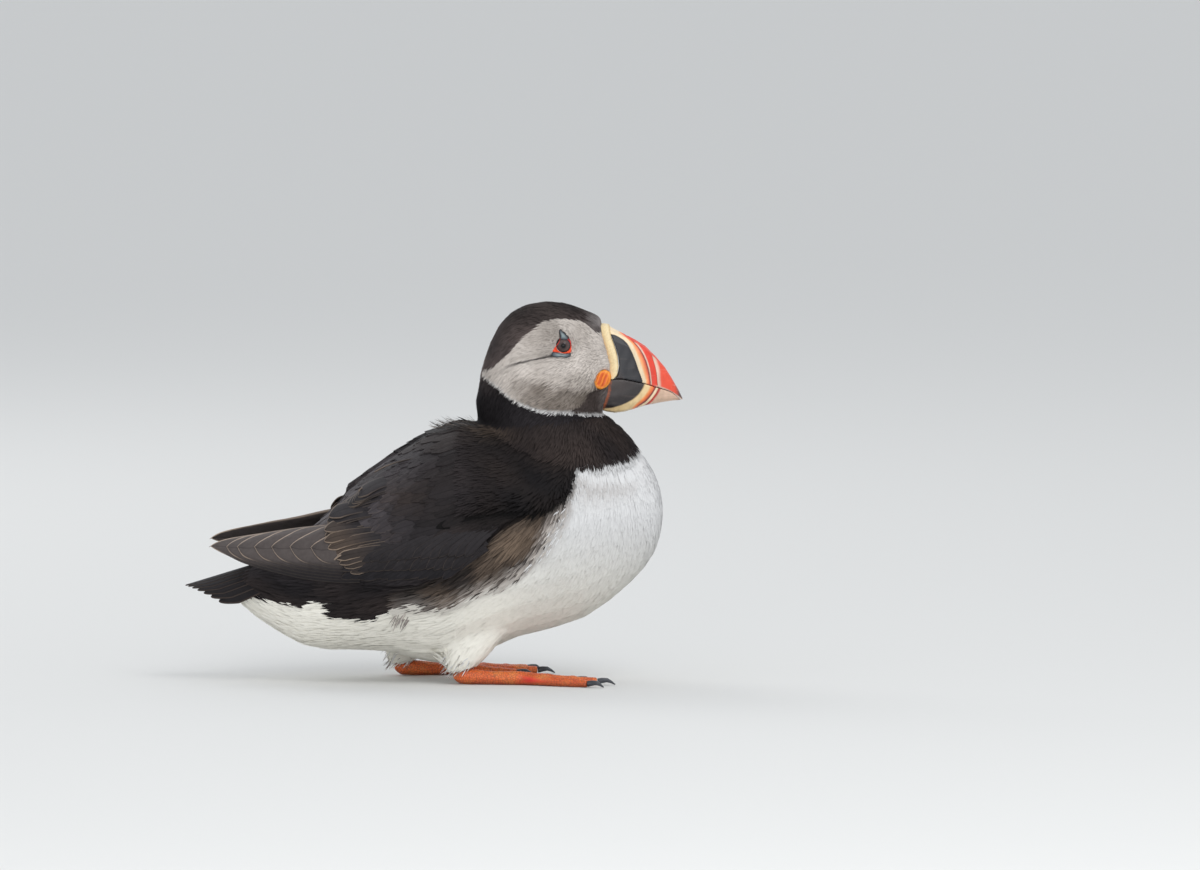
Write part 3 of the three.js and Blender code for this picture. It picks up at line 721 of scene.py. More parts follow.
MATT = {"Specular_IOR_Level": 0.12}
DOWN = finish("body_down", skin_recipe, 0.9, 0.0002, **MATT)
WHITE_TUFTS = finish("white_plumage", tuft_recipe(0.92, 700.0), 0.8, 0.000015, Sheen_Weight=0.1, **MATT)
FACE_TUFTS = finish("face_plumage", tuft_recipe(0.72, 1100.0), 0.75, 0.00003, Sheen_Weight=0.1, **MATT)
DARK_TUFTS = finish("dark_plumage", tuft_recipe(0.55, 900.0), 0.7, 0.00003, **MATT)
VANE = finish("wing_vanes", vane_recipe, 0.55, 0.00003, **MATT)

# ---------------------------------------------------------------- the skin


def eye_plane(points):
    """The head's surface round an eye as a flat plane: how far out it stands at a place off the middle."""
    near = points[(around_eye(points) > 5.8) & (around_eye(points) < 8) & (np.abs(points[:, 1]) > 6)]
    facts = np.stack([near[:, 0] - EYE["x"], near[:, 2] - EYE["z"], np.ones(len(near))], axis=1)
    lean_x, lean_z, level = np.linalg.lstsq(facts, np.abs(near[:, 1]), rcond=None)[0]
    return lambda x, z: level + lean_x * x + lean_z * z


def fill_sockets(points):
    """Brings the floor of each eye socket up to the head's surface, behind the eyeball and the lids."""
    level = eye_plane(points)(points[:, 0] - EYE["x"], points[:, 2] - EYE["z"])
    out = np.abs(points[:, 1])
    sunk = (around_eye(points) < 6.4) & (out > 4) & (out < level)
    points[sunk, 1] = np.sign(points[sunk, 1]) * level[sunk]


def build_skin(flesh):
    mesh = one_form("skin", flesh, SKIN_VOXEL, 6)
    points, normals = points_of(mesh), normals_of(mesh)
    points -= normals * coat_depth(points)[:, None]
    x, z = points.T[::2]
    on_head = head_share(points)
    fold = hump(from_line(crease_line, x, z), 0.9) * step(28, 38, x) * on_head
    brow = hump(from_line(crease_line + [-1, 2.6], x, z), 1.9) * step(28, 38, x) * on_head
    forehead = hump(np.hypot(x - 72.5, z - 158.5), 5.5) * on_head
    nape = hump(z - 122, 9) * step(30, 22, x)
    raised = 1.5 * forehead + 1.5 * nape + 0.75 * brow - 1.3 * fold + 0.9 * on_shoulder(points)
    points += normals * raised[:, None]
    fill_sockets(points)
    move_points(mesh, points)
    eased(mesh, 2)
    points = points_of(mesh)
    store(mesh, "FLOAT_COLOR", tint=plumage_colour(points, np.full(len(points), 0.4)))
    store(mesh, "FLOAT_VECTOR", up=normals_of(mesh))
    return finished(new_piece("skin", mesh, DOWN), "white_plumage", *flesh)


LIMBS = [f"{part}_{side}" for side in SIDES for part in ("wing", "thigh")]
skin = build_skin(["trunk", "neck", "head", *LIMBS])
skin_points = points_of(skin.data)
skin_normals = normals_of(skin.data)
skin_lie = combed(skin_points, skin_normals)

# ---------------------------------------------------------------- one tuft, one vane


def feather_shape(name, points, faces):
    """A pattern for one feather. It carries its own across, along and height as plain numbers."""
    mesh = bpy.data.meshes.new(name)
    mesh.from_pydata(points, [], faces)
    face_outwards(mesh)
    mesh.shade_smooth()
    store(mesh, "FLOAT_VECTOR", shape=points)
    return new_piece(name, mesh)


def lock_shape(name, stations, ridge):
    """A thin three-sided lock: stations are (along, half width, height), the last one its tip."""
    points, faces = [], [(0, 2, 1)]
    for along, half, height in stations[:-1]:
        points += [(-half, along, height), (half, along, height), (0, along, height + ridge)]
    tip = len(points)
    points.append((0, stations[-1][0], stations[-1][2]))
    for ring in range(0, tip - 3, 3):
        corners = [(ring + k, ring + (k + 1) % 3) for k in range(3)]
        faces += [(a, b, b + 3, a + 3) for a, b in corners]
    faces += [(tip - 3 + k, tip - 3 + (k + 1) % 3, tip) for k in range(3)]
    return feather_shape(name, points, faces)


def vane_half(along):
    """A small vane's half width at a place along it, 1 at its widest."""
    return np.sqrt(np.maximum(1 - ((along - 0.6) / np.where(along < 0.6, 0.62, 0.415)) ** 2, 0.012))


def vane_shape(name, rows, columns, thickness, camber):
    """A thin rounded vane with a top and an underside, one unit long and two wide."""
    points = []
    for level in (0, -thickness):
        for along in np.arange(rows) / (rows - 1):
            for across in 2 * np.arange(columns) / (columns - 1) - 1:
                half = vane_half(along)
                points.append((across * half, along, along**0.8 - camber * across**2 * half + level))
    return feather_shape(name, points, sheet_faces(rows, columns))


SHORT_LOCK = lock_shape("short_lock", [(0, 0.3, -0.35), (0.5, 0.5, 0.62), (1, 0, 1)], 0.12)
LONG_LOCK = lock_shape("long_lock", [(0, 0.25, -0.3), (0.38, 0.5, 0.5), (0.8, 0.34, 0.9), (1, 0, 0.95)], 0.08)
SMALL_VANE = vane_shape("small_vane", 6, 5, 0.12, 0.1)

# ---------------------------------------------------------------- the tree that lays feathers


def feather_tree():
    """Scatters feathers over a surface, turned the way the coat lies, and wraps each one to the skin."""
    tree = bpy.data.node_groups.new("lay_feathers", "GeometryNodeTree")
    for name, kind in (
        ("Surface", "Geometry"), ("Skin", "Object"), ("Feather", "Object"), ("Spacing", "Float"),
        ("Stray", "Float"), ("Seed", "Int"), ("Finish", "Material"),
    ):
        tree.interface.new_socket(name, in_out="INPUT", socket_type="NodeSocket" + kind)
    tree.interface.new_socket("Coat", in_out="OUTPUT", socket_type="NodeSocketGeometry")
    given = add(tree, "NodeGroupInput").outputs

    def named(name, kind="FLOAT"):
        return add(tree, "GeometryNodeInputNamedAttribute", {"Name": name}, data_type=kind).outputs[0]

    def vector(operation, *terms):
        inputs = dict(zip((0, "Scale") if operation == "SCALE" else (0, 1), terms))
        return add(tree, "ShaderNodeVectorMath", inputs, operation=operation).outputs[0]

    def keep(geometry, name, kind, value):
        inputs = {"Geometry": geometry, "Name": name, "Value": value}
        return add(tree, "GeometryNodeStoreNamedAttribute", inputs, data_type=kind, domain="POINT").outputs[0]

    def inside_of(piece):
        return add(tree, "GeometryNodeObjectInfo", {"Object": piece}).outputs["Geometry"]

    dense = math_node(tree, "DIVIDE", 1.3, math_node(tree, "MULTIPLY", given["Spacing"], given["Spacing"]))
    scatter = add(tree, "GeometryNodeDistributePointsOnFaces", distribute_method="POISSON")
    for key, value in (
        ("Mesh", given["Surface"]), ("Distance Min", given["Spacing"]), ("Density Max", dense),
        ("Density Factor", named("thick")), ("Seed", given["Seed"]),
    ):
        tree.links.new(value, scatter.inputs[key])
    chance = add(tree, "FunctionNodeRandomValue", {"Seed": given["Seed"]}, data_type="FLOAT").outputs[1]
    points = keep(scatter.outputs["Points"], "luck", "FLOAT", chance)
    points = keep(points, "root", "FLOAT_VECTOR", add(tree, "GeometryNodeInputPosition").outputs[0])

    inputs = {0: (-1, -1, -1), 1: (1, 1, 1), "Seed": given["Seed"]}
    loose = add(tree, "FunctionNodeRandomValue", inputs, data_type="FLOAT_VECTOR").outputs[0]
    way = vector("ADD", named("lie", "FLOAT_VECTOR"), vector("SCALE", loose, given["Stray"]))
    turn = add(tree, "FunctionNodeAxesToRotation", {0: named("up", "FLOAT_VECTOR"), 1: way},
               primary_axis="Z", secondary_axis="Y")
    size = math_node(tree, "MULTIPLY_ADD", named("luck"), 0.5, 0.75)
    wide, long = (math_node(tree, "MULTIPLY", named(name), size) for name in ("wide", "long"))
    spread = add(tree, "ShaderNodeCombineXYZ", {0: wide, 1: long, 2: named("rise")}).outputs[0]
    laid = add(tree, "GeometryNodeInstanceOnPoints", {
        "Points": points, "Instance": inside_of(given["Feather"]),
        "Rotation": turn.outputs[0], "Scale": spread,
    })
    whole = add(tree, "GeometryNodeRealizeInstances", {0: laid.outputs[0]}).outputs[0]

    body = inside_of(given["Skin"])
    nearest = add(tree, "GeometryNodeProximity", {0: body}, target_element="FACES").outputs["Position"]
    facing = add(tree, "GeometryNodeSampleNearestSurface", data_type="FLOAT_VECTOR")
    tree.links.new(body, facing.inputs["Mesh"])
    tree.links.new(named("up", "FLOAT_VECTOR"), facing.inputs["Value"])
    whole = keep(whole, "facing", "FLOAT_VECTOR", vector("NORMALIZE", facing.outputs[0]))
    level = split(tree, named("shape", "FLOAT_VECTOR"))[2]
    lift = math_node(tree, "MULTIPLY", math_node(tree, "MULTIPLY", level, named("rise")), size)
    place = vector("ADD", nearest, vector("SCALE", named("facing", "FLOAT_VECTOR"), lift))
    wrapped = add(tree, "GeometryNodeSetPosition", {"Geometry": whole, "Position": place})
    coat = {"Geometry": wrapped.outputs[0], "Material": given["Finish"]}
    coat = add(tree, "GeometryNodeSetMaterial", coat)
    tree.links.new(coat.outputs[0], add(tree, "NodeGroupOutput").inputs[0])
    return tree


FEATHERS = feather_tree()
SOCKETS = {item.name: item.identifier for item in FEATHERS.interface.items_tree if item.in_out == "INPUT"}
BAKE_PATCH = 0.003


def bake_places(roots, facing, shapes):
    """A small patch of the bake map for each feather: six charts, one for each way that the skin can face."""
    share = (roots - roots.min(0)) / (roots.max(0) - roots.min(0))
    main = np.abs(facing).argmax(1)
    chart = 2 * main + (facing[np.arange(len(main)), main] > 0)
    across = np.where(main == 0, share[:, 1], share[:, 0])
    upwards = np.where(main == 2, share[:, 1], share[:, 2])
    column, row = chart % 2, chart // 2
    places = np.stack([(column + 0.02 + 0.96 * across) / 2, (row + 0.02 + 0.96 * upwards) / 3], axis=1)
    local = np.stack([shapes[:, 0] / 2, shapes[:, 1] - 0.5], axis=1)
    return np.clip(places + BAKE_PATCH * np.clip(local, -0.5, 0.5), 0, 1)


def lay(name, slot, thick, feather, material, spacing, long, wide, rise, seed, stray=0.15, worn=None,
        frayed=None, soft=0.78, shade=lambda roots: np.ones(len(roots))):
    """One piece of the coat: feathers over the part of the skin where thick is above 0."""
    surface = skin.data.copy()
    fields = {"thick": thick, "long": long * MM, "wide": wide * MM, "rise": rise * MM}
    fields = {key: np.broadcast_to(value, len(skin_points)) for key, value in fields.items()}
    store(surface, "FLOAT", **fields)
    store(surface, "FLOAT_VECTOR", lie=skin_lie)
    piece = new_piece(name, surface)
    layer = piece.modifiers.new("feathers", "NODES")
    layer.node_group = FEATHERS
    settings = {"Skin": skin, "Feather": feather, "Spacing": spacing * MM, "Stray": stray, "Seed": seed,
                "Finish": material}
    for key, value in settings.items():
        layer[SOCKETS[key]] = value
    mesh = settled(piece, name)
    roots, luck, shapes = stored(mesh, "root") / MM, stored(mesh, "luck"), stored(mesh, "shape")
    colour = plumage_colour(roots, luck)
    colour[:, :3] *= shade(roots)[:, None]
    if frayed:
        colour = blended(colour, FLANK_PALE, frayed(roots, luck) * step(0.45, 1, shapes[:, 1]))
    set_bake_map(mesh, bake_places(roots, stored(mesh, "up"), shapes))
    store(mesh, "FLOAT_COLOR", tint=colour)
    if worn:
        off_shaft = np.abs(shapes[:, 0])
        places = np.stack([off_shaft, shapes[:, 1], vane_half(shapes[:, 1]) - off_shaft], axis=1)
        wide_now, long_now = stored(mesh, "wide") / MM, stored(mesh, "long") / MM
        store(mesh, "FLOAT_VECTOR", vane=places * np.stack([wide_now, long_now, wide_now], axis=1))
        store(mesh, "FLOAT", worn=worn(roots, luck))
        store(mesh, "FLOAT_COLOR", edge=blended(colour, VANE_EDGE, 0.7))
    lean_normals(mesh, stored(mesh, "facing"), soft)
    for extra in ("root", "luck", "up", "lie", "rise", "thick", "long", "wide", "facing"):
        mesh.attributes.remove(mesh.attributes[extra])
    return finished(new_piece(name, mesh), slot)


def hang(name, slot, zone, count, way, long, wide, curl, colours, seed):
    """Loose tufts from a zone of the skin: each leaves its root along a way (x, y out, z), and curls."""
    turns = np.random.default_rng(seed)
    roots = turns.choice(np.flatnonzero(zone), count, replace=False)
    place, facing = skin_points[roots], skin_normals[roots]
    ahead = np.array(way) * np.stack([np.ones(count), np.sign(place[:, 1]), np.ones(count)], axis=1)
    ahead = ahead + turns.normal(size=(count, 3)) * 0.16
    ahead = unit(ahead - facing * np.minimum((ahead * facing).sum(1, keepdims=True), 0))
    across = unit(np.cross(ahead, facing))
    shape = stored(LONG_LOCK.data, "shape")
    size = turns.uniform(0.6, 1.1, count)[:, None, None]
    along = shape[None, :, 1:2]
    points = place[:, None] + size * (
        across[:, None] * shape[None, :, 0:1] * wide
        + ahead[:, None] * along * long
        + np.cross(across, ahead)[:, None] * (0.35 * shape[None, :, 2:3] + curl * along**2)
    )
    per = len(shape)
    lock_faces = LONG_LOCK.data.polygons
    faces = [tuple(per * k + v for v in face.vertices) for k in range(count) for face in lock_faces]
    mesh = mesh_from(name, points.reshape(-1, 3), faces)
    shapes = np.tile(shape, (count, 1))
    place, facing = np.repeat(place, per, axis=0), np.repeat(facing, per, axis=0)
    tints = np.array(colours)[turns.integers(len(colours), size=count)]
    store(mesh, "FLOAT_VECTOR", shape=shapes)
    store(mesh, "FLOAT_COLOR", tint=np.repeat(tints, per, axis=0))
    set_bake_map(mesh, bake_places(place, facing, shapes))
    lean_normals(mesh, facing, 0.9)
    return finished(new_piece(name, mesh, WHITE_TUFTS), slot)


# ---------------------------------------------------------------- the coat, zone by zone

x, y, z = skin_points.T
side_y = np.abs(y)
on_body = head_share(skin_points) <= 0.5
in_face = in_face_at(skin_points)
in_wing = in_wing_at(skin_points)
depth = coat_depth(skin_points)
white_share = white_below(skin_points)
above_ledge = ledge_height(skin_points)
eye_room = inside(smooth_line(LID_OUTER, 4, closed=True), x - EYE["x"], z - EYE["z"])

head_zone = ~on_body & (in_front_of_feathers(skin_points) < -0.3) & (eye_room < -0.25)
collar_zone = on_body & (z > over(COLLAR_BACK, np.clip(x, 19.4, 98))) & (white_share < 2.5) & (x > 14)
rest = on_body & ~collar_zone
wing_zone = rest & (in_wing > -1) & (side_y > 8)
back_zone = rest & ~wing_zone & (z > 60) & (x < 30) & (white_share < 0)
low_dark = rest & ~wing_zone & ~back_zone & (white_share < 1)
flank_zone = low_dark & (x > -10) & (z < 82)
rump_zone = low_dark & (x <= -10) & (x > np.where(side_y > 8, -84, -64))
white_zone = rest & ~wing_zone & ~back_zone & (white_share > -3)

short_near_eye = 0.4 + 0.6 * step(0, 6, -eye_room)
near_rim = step(4.5, 0.5, in_face) * step(140, 134, z)
face_long = (2.4 + 1.6 * step(72, 50, x)) * short_near_eye * (1 - 0.45 * near_rim)
face_wide = 0.42 * (0.7 + 0.3 * short_near_eye) * (1 - 0.35 * near_rim)
for side_name, side in SIDES.items():
    lay(f"coat_face_{side_name}", "grey_plumage", head_zone & (in_face > -0.5) & (y * side >= 0), SHORT_LOCK,
        FACE_TUFTS, 0.34, face_long, face_wide, depth * 0.8, {"right": 11, "left": 12}[side_name], 0.1)

by_face = step(-2.4, -0.3, in_face) * step(141, 136, z)
lay("coat_crown", "black_plumage", head_zone & (in_face <= 0.1), SHORT_LOCK, DARK_TUFTS,
    0.44, 3.6 * (1 - 0.62 * by_face), 0.46, depth * 0.8, 13, 0.1)

collar_long = 4.6 * (1 - 0.5 * step(5, 0, -white_share) * step(70, 62, x)) * (1 - 0.7 * by_face)
lay("coat_collar", "black_plumage", collar_zone, SHORT_LOCK, DARK_TUFTS,
    0.54, collar_long, 0.58, depth * 0.8, 14, 0.12)

by_wing = step(9, 1, -in_wing) * step(40, 50, x)
lay("coat_breast", "white_plumage", white_zone & (x > 58), LONG_LOCK, WHITE_TUFTS,
    0.64, 6.6 * (1 - 0.6 * by_wing), 0.95, depth * 0.45, 15, 0.05, soft=0.93)
lay("coat_belly", "white_plumage", white_zone & (x <= 58) & (x > 14), LONG_LOCK, WHITE_TUFTS,
    0.66, 8 * (1 - 0.55 * by_wing), 1.0, depth * 0.5, 16, 0.06, soft=0.93)
lay("coat_rear", "white_plumage", white_zone & (x <= 14), LONG_LOCK, WHITE_TUFTS,
    0.78, 9.5, 1.05, depth * 0.7, 17, 0.08, soft=0.9)


def frayed_tips(roots, luck):
    """The share of pale barbs at a flank feather's tip, most along the lower edge and by the wing's bend."""
    near_white = step(-10, -2, white_below(roots)) * step(-10, 6, roots[:, 0])
    return (luck > 0.64) * near_white * (0.25 + 0.55 * step(10, 30, roots[:, 0]))


lay("coat_flank", "white_plumage", flank_zone, LONG_LOCK, FACE_TUFTS,
    0.7, 10 - 4 * step(40, 54, x), 0.8, depth * 0.9, 18, 0.12, frayed=frayed_tips, soft=0.85)
lay("coat_rump", "black_plumage", rump_zone, LONG_LOCK, DARK_TUFTS, 0.85, 9, 0.9, depth * 0.9, 19, 0.1)

# The shoulder's small tufts overhang the wing along the ledge, and run on as the wing's lowest rows.
overhang = step(10, 2, above_ledge) * step(-0.6, 0.4, above_ledge)
overhang *= step(4, 26, x) * step(63, 57, x) * step(12, 18, side_y)
under_ledge = hump(above_ledge + 2.2, 2) * step(0, 16, x)
on_from_back = x - 16 - 5 * ripple(skin_points, 12, 33)
low_rows = wing_zone & (z < 55) & (x < 14)
lay("coat_shoulder", "black_plumage", (wing_zone & (on_from_back > -2)) | low_rows, LONG_LOCK, DARK_TUFTS,
    0.74, 6.5 * (1 - 0.6 * step(7, 0, in_wing) * step(46, 54, x)), 0.9,
    depth * 0.6 * (1 - 0.5 * under_ledge) + 1.9 * overhang, 21, 0.1, soft=0.85,
    shade=lambda roots: 1 - 0.42 * step(8, 30, roots[:, 0]))

# Round each heel the thigh's feathers hang as loose fringes, and a few more tufts stand free of the coat.
for (side_name, side), heel_x in zip(SIDES.items(), (8.7, -17.3)):
    on_thigh = (y * side > 13) & (y * side < 31) & (z > 6) & (z < 13) & (x > heel_x - 4) & (x < heel_x + 12)
    hang(f"heel_fringe_{side_name}", "white_plumage", on_thigh, 110, (-0.6, 0.2, -0.7), 5.2, 0.45, -0.3,
         (WHITE, WHITE, CREAM_WHITE, FLANK_GREY), 31)
on_nape = (side_y < 14) & (x > 4) & (x < 20) & (z > 108) & (z < 116)
hang("nape_fluff", "grey_plumage", on_nape, 170, (-0.97, 0.05, 0.06), 7, 0.6, 1.1,
     (FLANK_BROWN, CHIN_BROWN, CHIN_BROWN, FLANK_DARK, BLACK), 33)
flank_end = (side_y > 20) & (np.hypot((x + 11.5) / 1.6, z - 31.2) < 2.6)
hang("flank_tuft", "white_plumage", flank_end, 44, (-0.45, 0.12, -0.88), 7.5, 0.5, 1.2,
     (FLANK_GREY, FLANK_GREY, FLANK_PALE), 35)
by_bend = (side_y > 20) & (white_share > -1) & (white_share < 3 + 9 * step(46, 56, x))
by_bend &= (x > 42) & (x < 60) & (z > 52) & (z < 88)
hang("bend_fringe", "white_plumage", by_bend, 110, (-0.6, 0.1, -0.7), 6, 0.5, 0.6,
     (WHITE, WHITE, FLANK_PALE), 34)


def wear(roots, luck):
    return np.clip(0.3 * luck + 0.25 * ripple(roots, 16, 44) - 0.05, 0, 0.3) * step(10, -30, roots[:, 0])


lay("coat_scapulars", "black_plumage", (wing_zone | back_zone) & (on_from_back <= 0) & ~low_rows,
    SMALL_VANE, VANE, 2.4, 15, 2.3, depth * 0.8, 22, 0.08, worn=wear,
    shade=lambda roots: 0.68 + 0.32 * step(14, -16, roots[:, 0]))
for pattern in (SHORT_LOCK, LONG_LOCK, SMALL_VANE):
    discard(pattern)


# ---------------------------------------------------------------- long feathers of the wings and tail

PRIMARY_TOP = [(-97.6, 58.8), (-92.3, 61.4), (-80, 63.8), (-62, 66.6), (-44, 69.4), (-28, 72)]
PRIMARY_LOW = [
    (-97.6, 58.2), (-89.3, 55), (-82.7, 52.2), (-75.3, 50.2), (-66.6, 48.2), (-57.9, 46.5), (-49.2, 45.6),
    (-40, 45), (-28, 45),
]
PRIMARY_TIPS = [-97.4, -89.6, -84.8, -77.2, -69.6, -61.4, -51.8]
PRIMARY_TIP_LINE = [(-97.6, 58.9), (-84, 58.5), (-50, 58.9)]
PRIMARY_ROOT = -27
PRIMARY_STEP = 1.25
GRID = 1.5


class Pile:
    """Long feathers gathered into one mesh. Each has a top and an underside, and a strip of the bake map."""

    def __init__(self):
        self.feathers = []

    def lay(self, top, out, inset, tint, edge, worn, long):
        """Top and out are grids of places and of the way each faces, and inset is how far in each is."""
        grid = top.shape[:2]
        inset, worn = (np.broadcast_to(values, grid).ravel() for values in (inset, worn))
        tint = np.broadcast_to(tint, (*grid, 4)).reshape(-1, 4)
        self.feathers.append({"top": top, "out": out, "inset": inset, "tint": tint, "edge": edge,
                              "worn": worn, "long": long})

    def piece(self, name):
        rows, columns = self.feathers[0]["top"].shape[:2]
        sheet = rows * columns
        along = np.repeat(np.linspace(0, 1, rows), columns)
        across = np.tile(np.linspace(-1, 1, columns), rows)
        faces = sheet_faces(rows, columns)
        cells = math.ceil(math.sqrt(len(self.feathers)))
        points, all_faces, places, vanes = [], [], [], []
        for k, feather in enumerate(self.feathers):
            top, out, inset = feather["top"], feather["out"], feather["inset"]
            turned = np.cross(top[1, 1] - top[0, 1], top[0, 2] - top[0, 1]) @ out[0, 1] > 0
            points += [top.reshape(-1, 3), (top - out * 0.25).reshape(-1, 3)]
            first = 2 * sheet * k
            all_faces += [tuple(first + v for v in (face[::-1] if turned else face)) for face in faces]
            middle = np.repeat(inset.reshape(rows, columns).max(1), columns)
            vanes += 2 * [np.stack([middle - inset, along * feather["long"], inset], axis=1)]
            cell = np.array([k % cells, k // cells])
            for level in (0, 0.5):
                local = np.stack([along, (across + 1) / 4 + level], axis=1)
                places.append((cell + 0.03 + 0.94 * local) / cells)
        mesh = mesh_from(name, np.concatenate(points), all_faces)
        tint, worn = (np.concatenate([feather[key] for feather in self.feathers for _ in (0, 1)])
                      for key in ("tint", "worn"))
        edge = np.repeat([feather["edge"] for feather in self.feathers], 2 * sheet, axis=0)
        store(mesh, "FLOAT_VECTOR", vane=np.concatenate(vanes))
        store(mesh, "FLOAT_COLOR", tint=tint)
        store(mesh, "FLOAT", worn=worn)
        store(mesh, "FLOAT_COLOR", edge=edge)
        set_bake_map(mesh, np.concatenate(places))
        return finished(new_piece(name, mesh, VANE), "black_plumage")


def tip_rows(count, crowding=1.7):
    """Stations along a feather, closer together towards its tip."""
    return 1 - (1 - np.linspace(0, 1, count)) ** crowding


def side_surface(side_name, x_range, z_range, start):
    """The outer surface of one wing on an even grid, carried on past its edges, as a function of (x, z)."""
    side = SIDES[side_name]
    tree = cad_tree(f"primaries_{side_name}", f"wing_{side_name}")
    xs, zs = (np.arange(low, high + 1, GRID) for low, high in (x_range, z_range))
    level = np.array([[met(tree, (px, side * 90, pz), (0, -side, 0)).y for pz in zs] for px in xs]) * side
    for _ in range(60):
        empty = np.isnan(level)
        if not empty.any():
            break
        padded = np.pad(level, 1, constant_values=np.nan)
        around = np.stack([padded[:-2, 1:-1], padded[2:, 1:-1], padded[1:-1, :-2], padded[1:-1, 2:]])
        known = ~np.isnan(around)
        mean = np.where(known, around, 0).sum(0) / np.maximum(known.sum(0), 1)
        level = np.where(empty & known.any(0), mean - 0.5, level)
    level = np.where(np.isnan(level), start, level)
    for _ in range(2):
        level[1:-1] = (level[:-2] + 2 * level[1:-1] + level[2:]) / 4
        level[:, 1:-1] = (level[:, :-2] + 2 * level[:, 1:-1] + level[:, 2:]) / 4

    def at(x, z):
        u = np.clip((x - xs[0]) / GRID, 0, len(xs) - 1.001)
        v = np.clip((z - zs[0]) / GRID, 0, len(zs) - 1.001)
        i, j = u.astype(int), v.astype(int)
        u, v = u - i, v - j
        return ((level[i, j] * (1 - v) + level[i, j + 1] * v) * (1 - u)
                + (level[i + 1, j] * (1 - v) + level[i + 1, j + 1] * v) * u)

    return at


def laid_on_side(surface, x, z, side, lift):
    """Lifts a grid of places onto one side of the bird, with the way each faces."""
    fore = np.clip(surface(x - 1, z) - surface(x + 1, z), -1.5, 1.5)
    upper = np.clip(surface(x, z - 1) - surface(x, z + 1), -3, 3)
    out = unit(np.stack([fore, 2 + 0 * x, upper], axis=2))
    grid = np.stack([x, surface(x, z), z], axis=2) + out * lift[..., None]
    turned = np.array([1, side, 1])
    return grid * turned, out * turned


def primaries(side_name):
    """The folded wing's tip: seven long feathers, each shorter one over the last, in a row of arrowheads."""
    side = SIDES[side_name]
    surface = side_surface(side_name, (-100, -20), (40, 76), 20)
    raised = 2.9 if side > 0 else 0
    pile = Pile()
    for k, tip_x in enumerate(PRIMARY_TIPS):
        x = PRIMARY_ROOT + (tip_x - PRIMARY_ROOT) * tip_rows(30, 2.2)
        from_tip = x - tip_x
        tip_z = over(PRIMARY_TIP_LINE, tip_x) + raised
        top_edge = over(PRIMARY_TOP, x) + raised - 0.15 * k
        low_edge = over(PRIMARY_LOW, x) + PRIMARY_STEP * k + raised
        up = 0.55 * from_tip + 1.1 * (1 - np.exp(-from_tip / 1.2))
        top = top_edge - softened(top_edge - tip_z - up, 1.6)
        down = 0.25 * from_tip + 5.4 * (1 - np.exp(-from_tip / 3.2))
        low = np.minimum(low_edge + softened(tip_z - down - low_edge, 1.2), top - 0.05)
        across = np.linspace(-1, 1, 9)[None, :]
        half = 0.5 * (top - low)[:, None]
        z = 0.5 * (top + low)[:, None] + half * across
        x = np.broadcast_to(x[:, None], z.shape)
        buried = step(-42, -30, x)
        lift = (0.2 + 0.38 * k) * (1 - buried) - 1.8 * buried + 0.1 * (1 - across**2)
        grid, out = laid_on_side(surface, x, z, side, lift)
        shade = blended(paint(86, 79, 77), WING_DUSK, step(54.5, 49.5, z - raised))
        upper_edge = 0.35 + 0.5 * step(17, 6, x - tip_x)
        worn = np.where(across > 0, upper_edge, 0.05 + 0.75 * step(9, 3, x - tip_x))
        pile.lay(grid, out, (1 - np.abs(across)) * half, shade, paint(186, 166, 148), worn, 60)
    feathers = pile.piece(f"primaries_feathers_{side_name}")
    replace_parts(feathers, f"primaries_{side_name}")


def blade(pile, surface, side, root, tip, half, lift, tint, worn):
    """One feather of the wing, from root to tip as seen from the side."""
    run = tip - root
    length = np.linalg.norm(run)
    up = np.array([run[1], -run[0]]) / length
    rows = tip_rows(18, 1.8)
    middle = root + run * rows[:, None] + up * (0.2 * length * rows * (1 - rows))[:, None]
    width = half * np.clip((1 - rows) * length / (1.8 * half), 0.004, 1) ** 0.55
    width = width * np.clip(0.5 + 2 * rows, 0, 1)
    across = np.linspace(-1, 1, 7)
    place = middle[:, None, :] + up * (width[:, None] * across)[..., None]
    buried = 1 - step(0.1, 0.6, rows)[:, None]
    height = lift * step(0.25, 0.95, rows)[:, None] + 0.15 * (1 - across**2) - 0.9 * buried
    grid, out = laid_on_side(surface, place[..., 0], place[..., 1], side, height)
    edge = blended(tint, paint(186, 164, 144), 0.85)
    # Painted shadow: each feather darkens towards its root, where the row above overlaps it.
    tint = blended(WING_DUSK, tint, step(0.35, 0.8, rows))[:, None]
    worn = worn * (0.25 + 0.75 * step(0.6, 0.95, rows))[:, None]
    pile.lay(grid, out, (1 - np.abs(across)) * width[:, None], tint, edge, worn, length)


def row_of_blades(pile, surface, side, tips, count, slants, lengths, half, lift, tint, worn, seed):
    """Feathers side by side, tips along a line, fanned from one slant to another, the first one on top."""
    turns = np.random.default_rng(seed)
    for k in range(count):
        share = k / max(count - 1, 1)
        tip = between(tips, share) + turns.uniform(-0.5, 0.5, 2)
        angle = math.radians(180 + between(slants, share)) + turns.uniform(-0.05, 0.05)
        long = between(lengths, share) * turns.uniform(0.92, 1.08)
        root = tip - long * np.array([math.cos(angle), math.sin(angle)])
        shade = np.array(paint(*tint)) * turns.uniform(0.85, 1.15)
        shade[3] = 1
        raised = lift * (1.0 - 0.4 * share)
        blade(pile, surface, side, root, tip, half, raised, shade, worn * turns.uniform(0.5, 1))


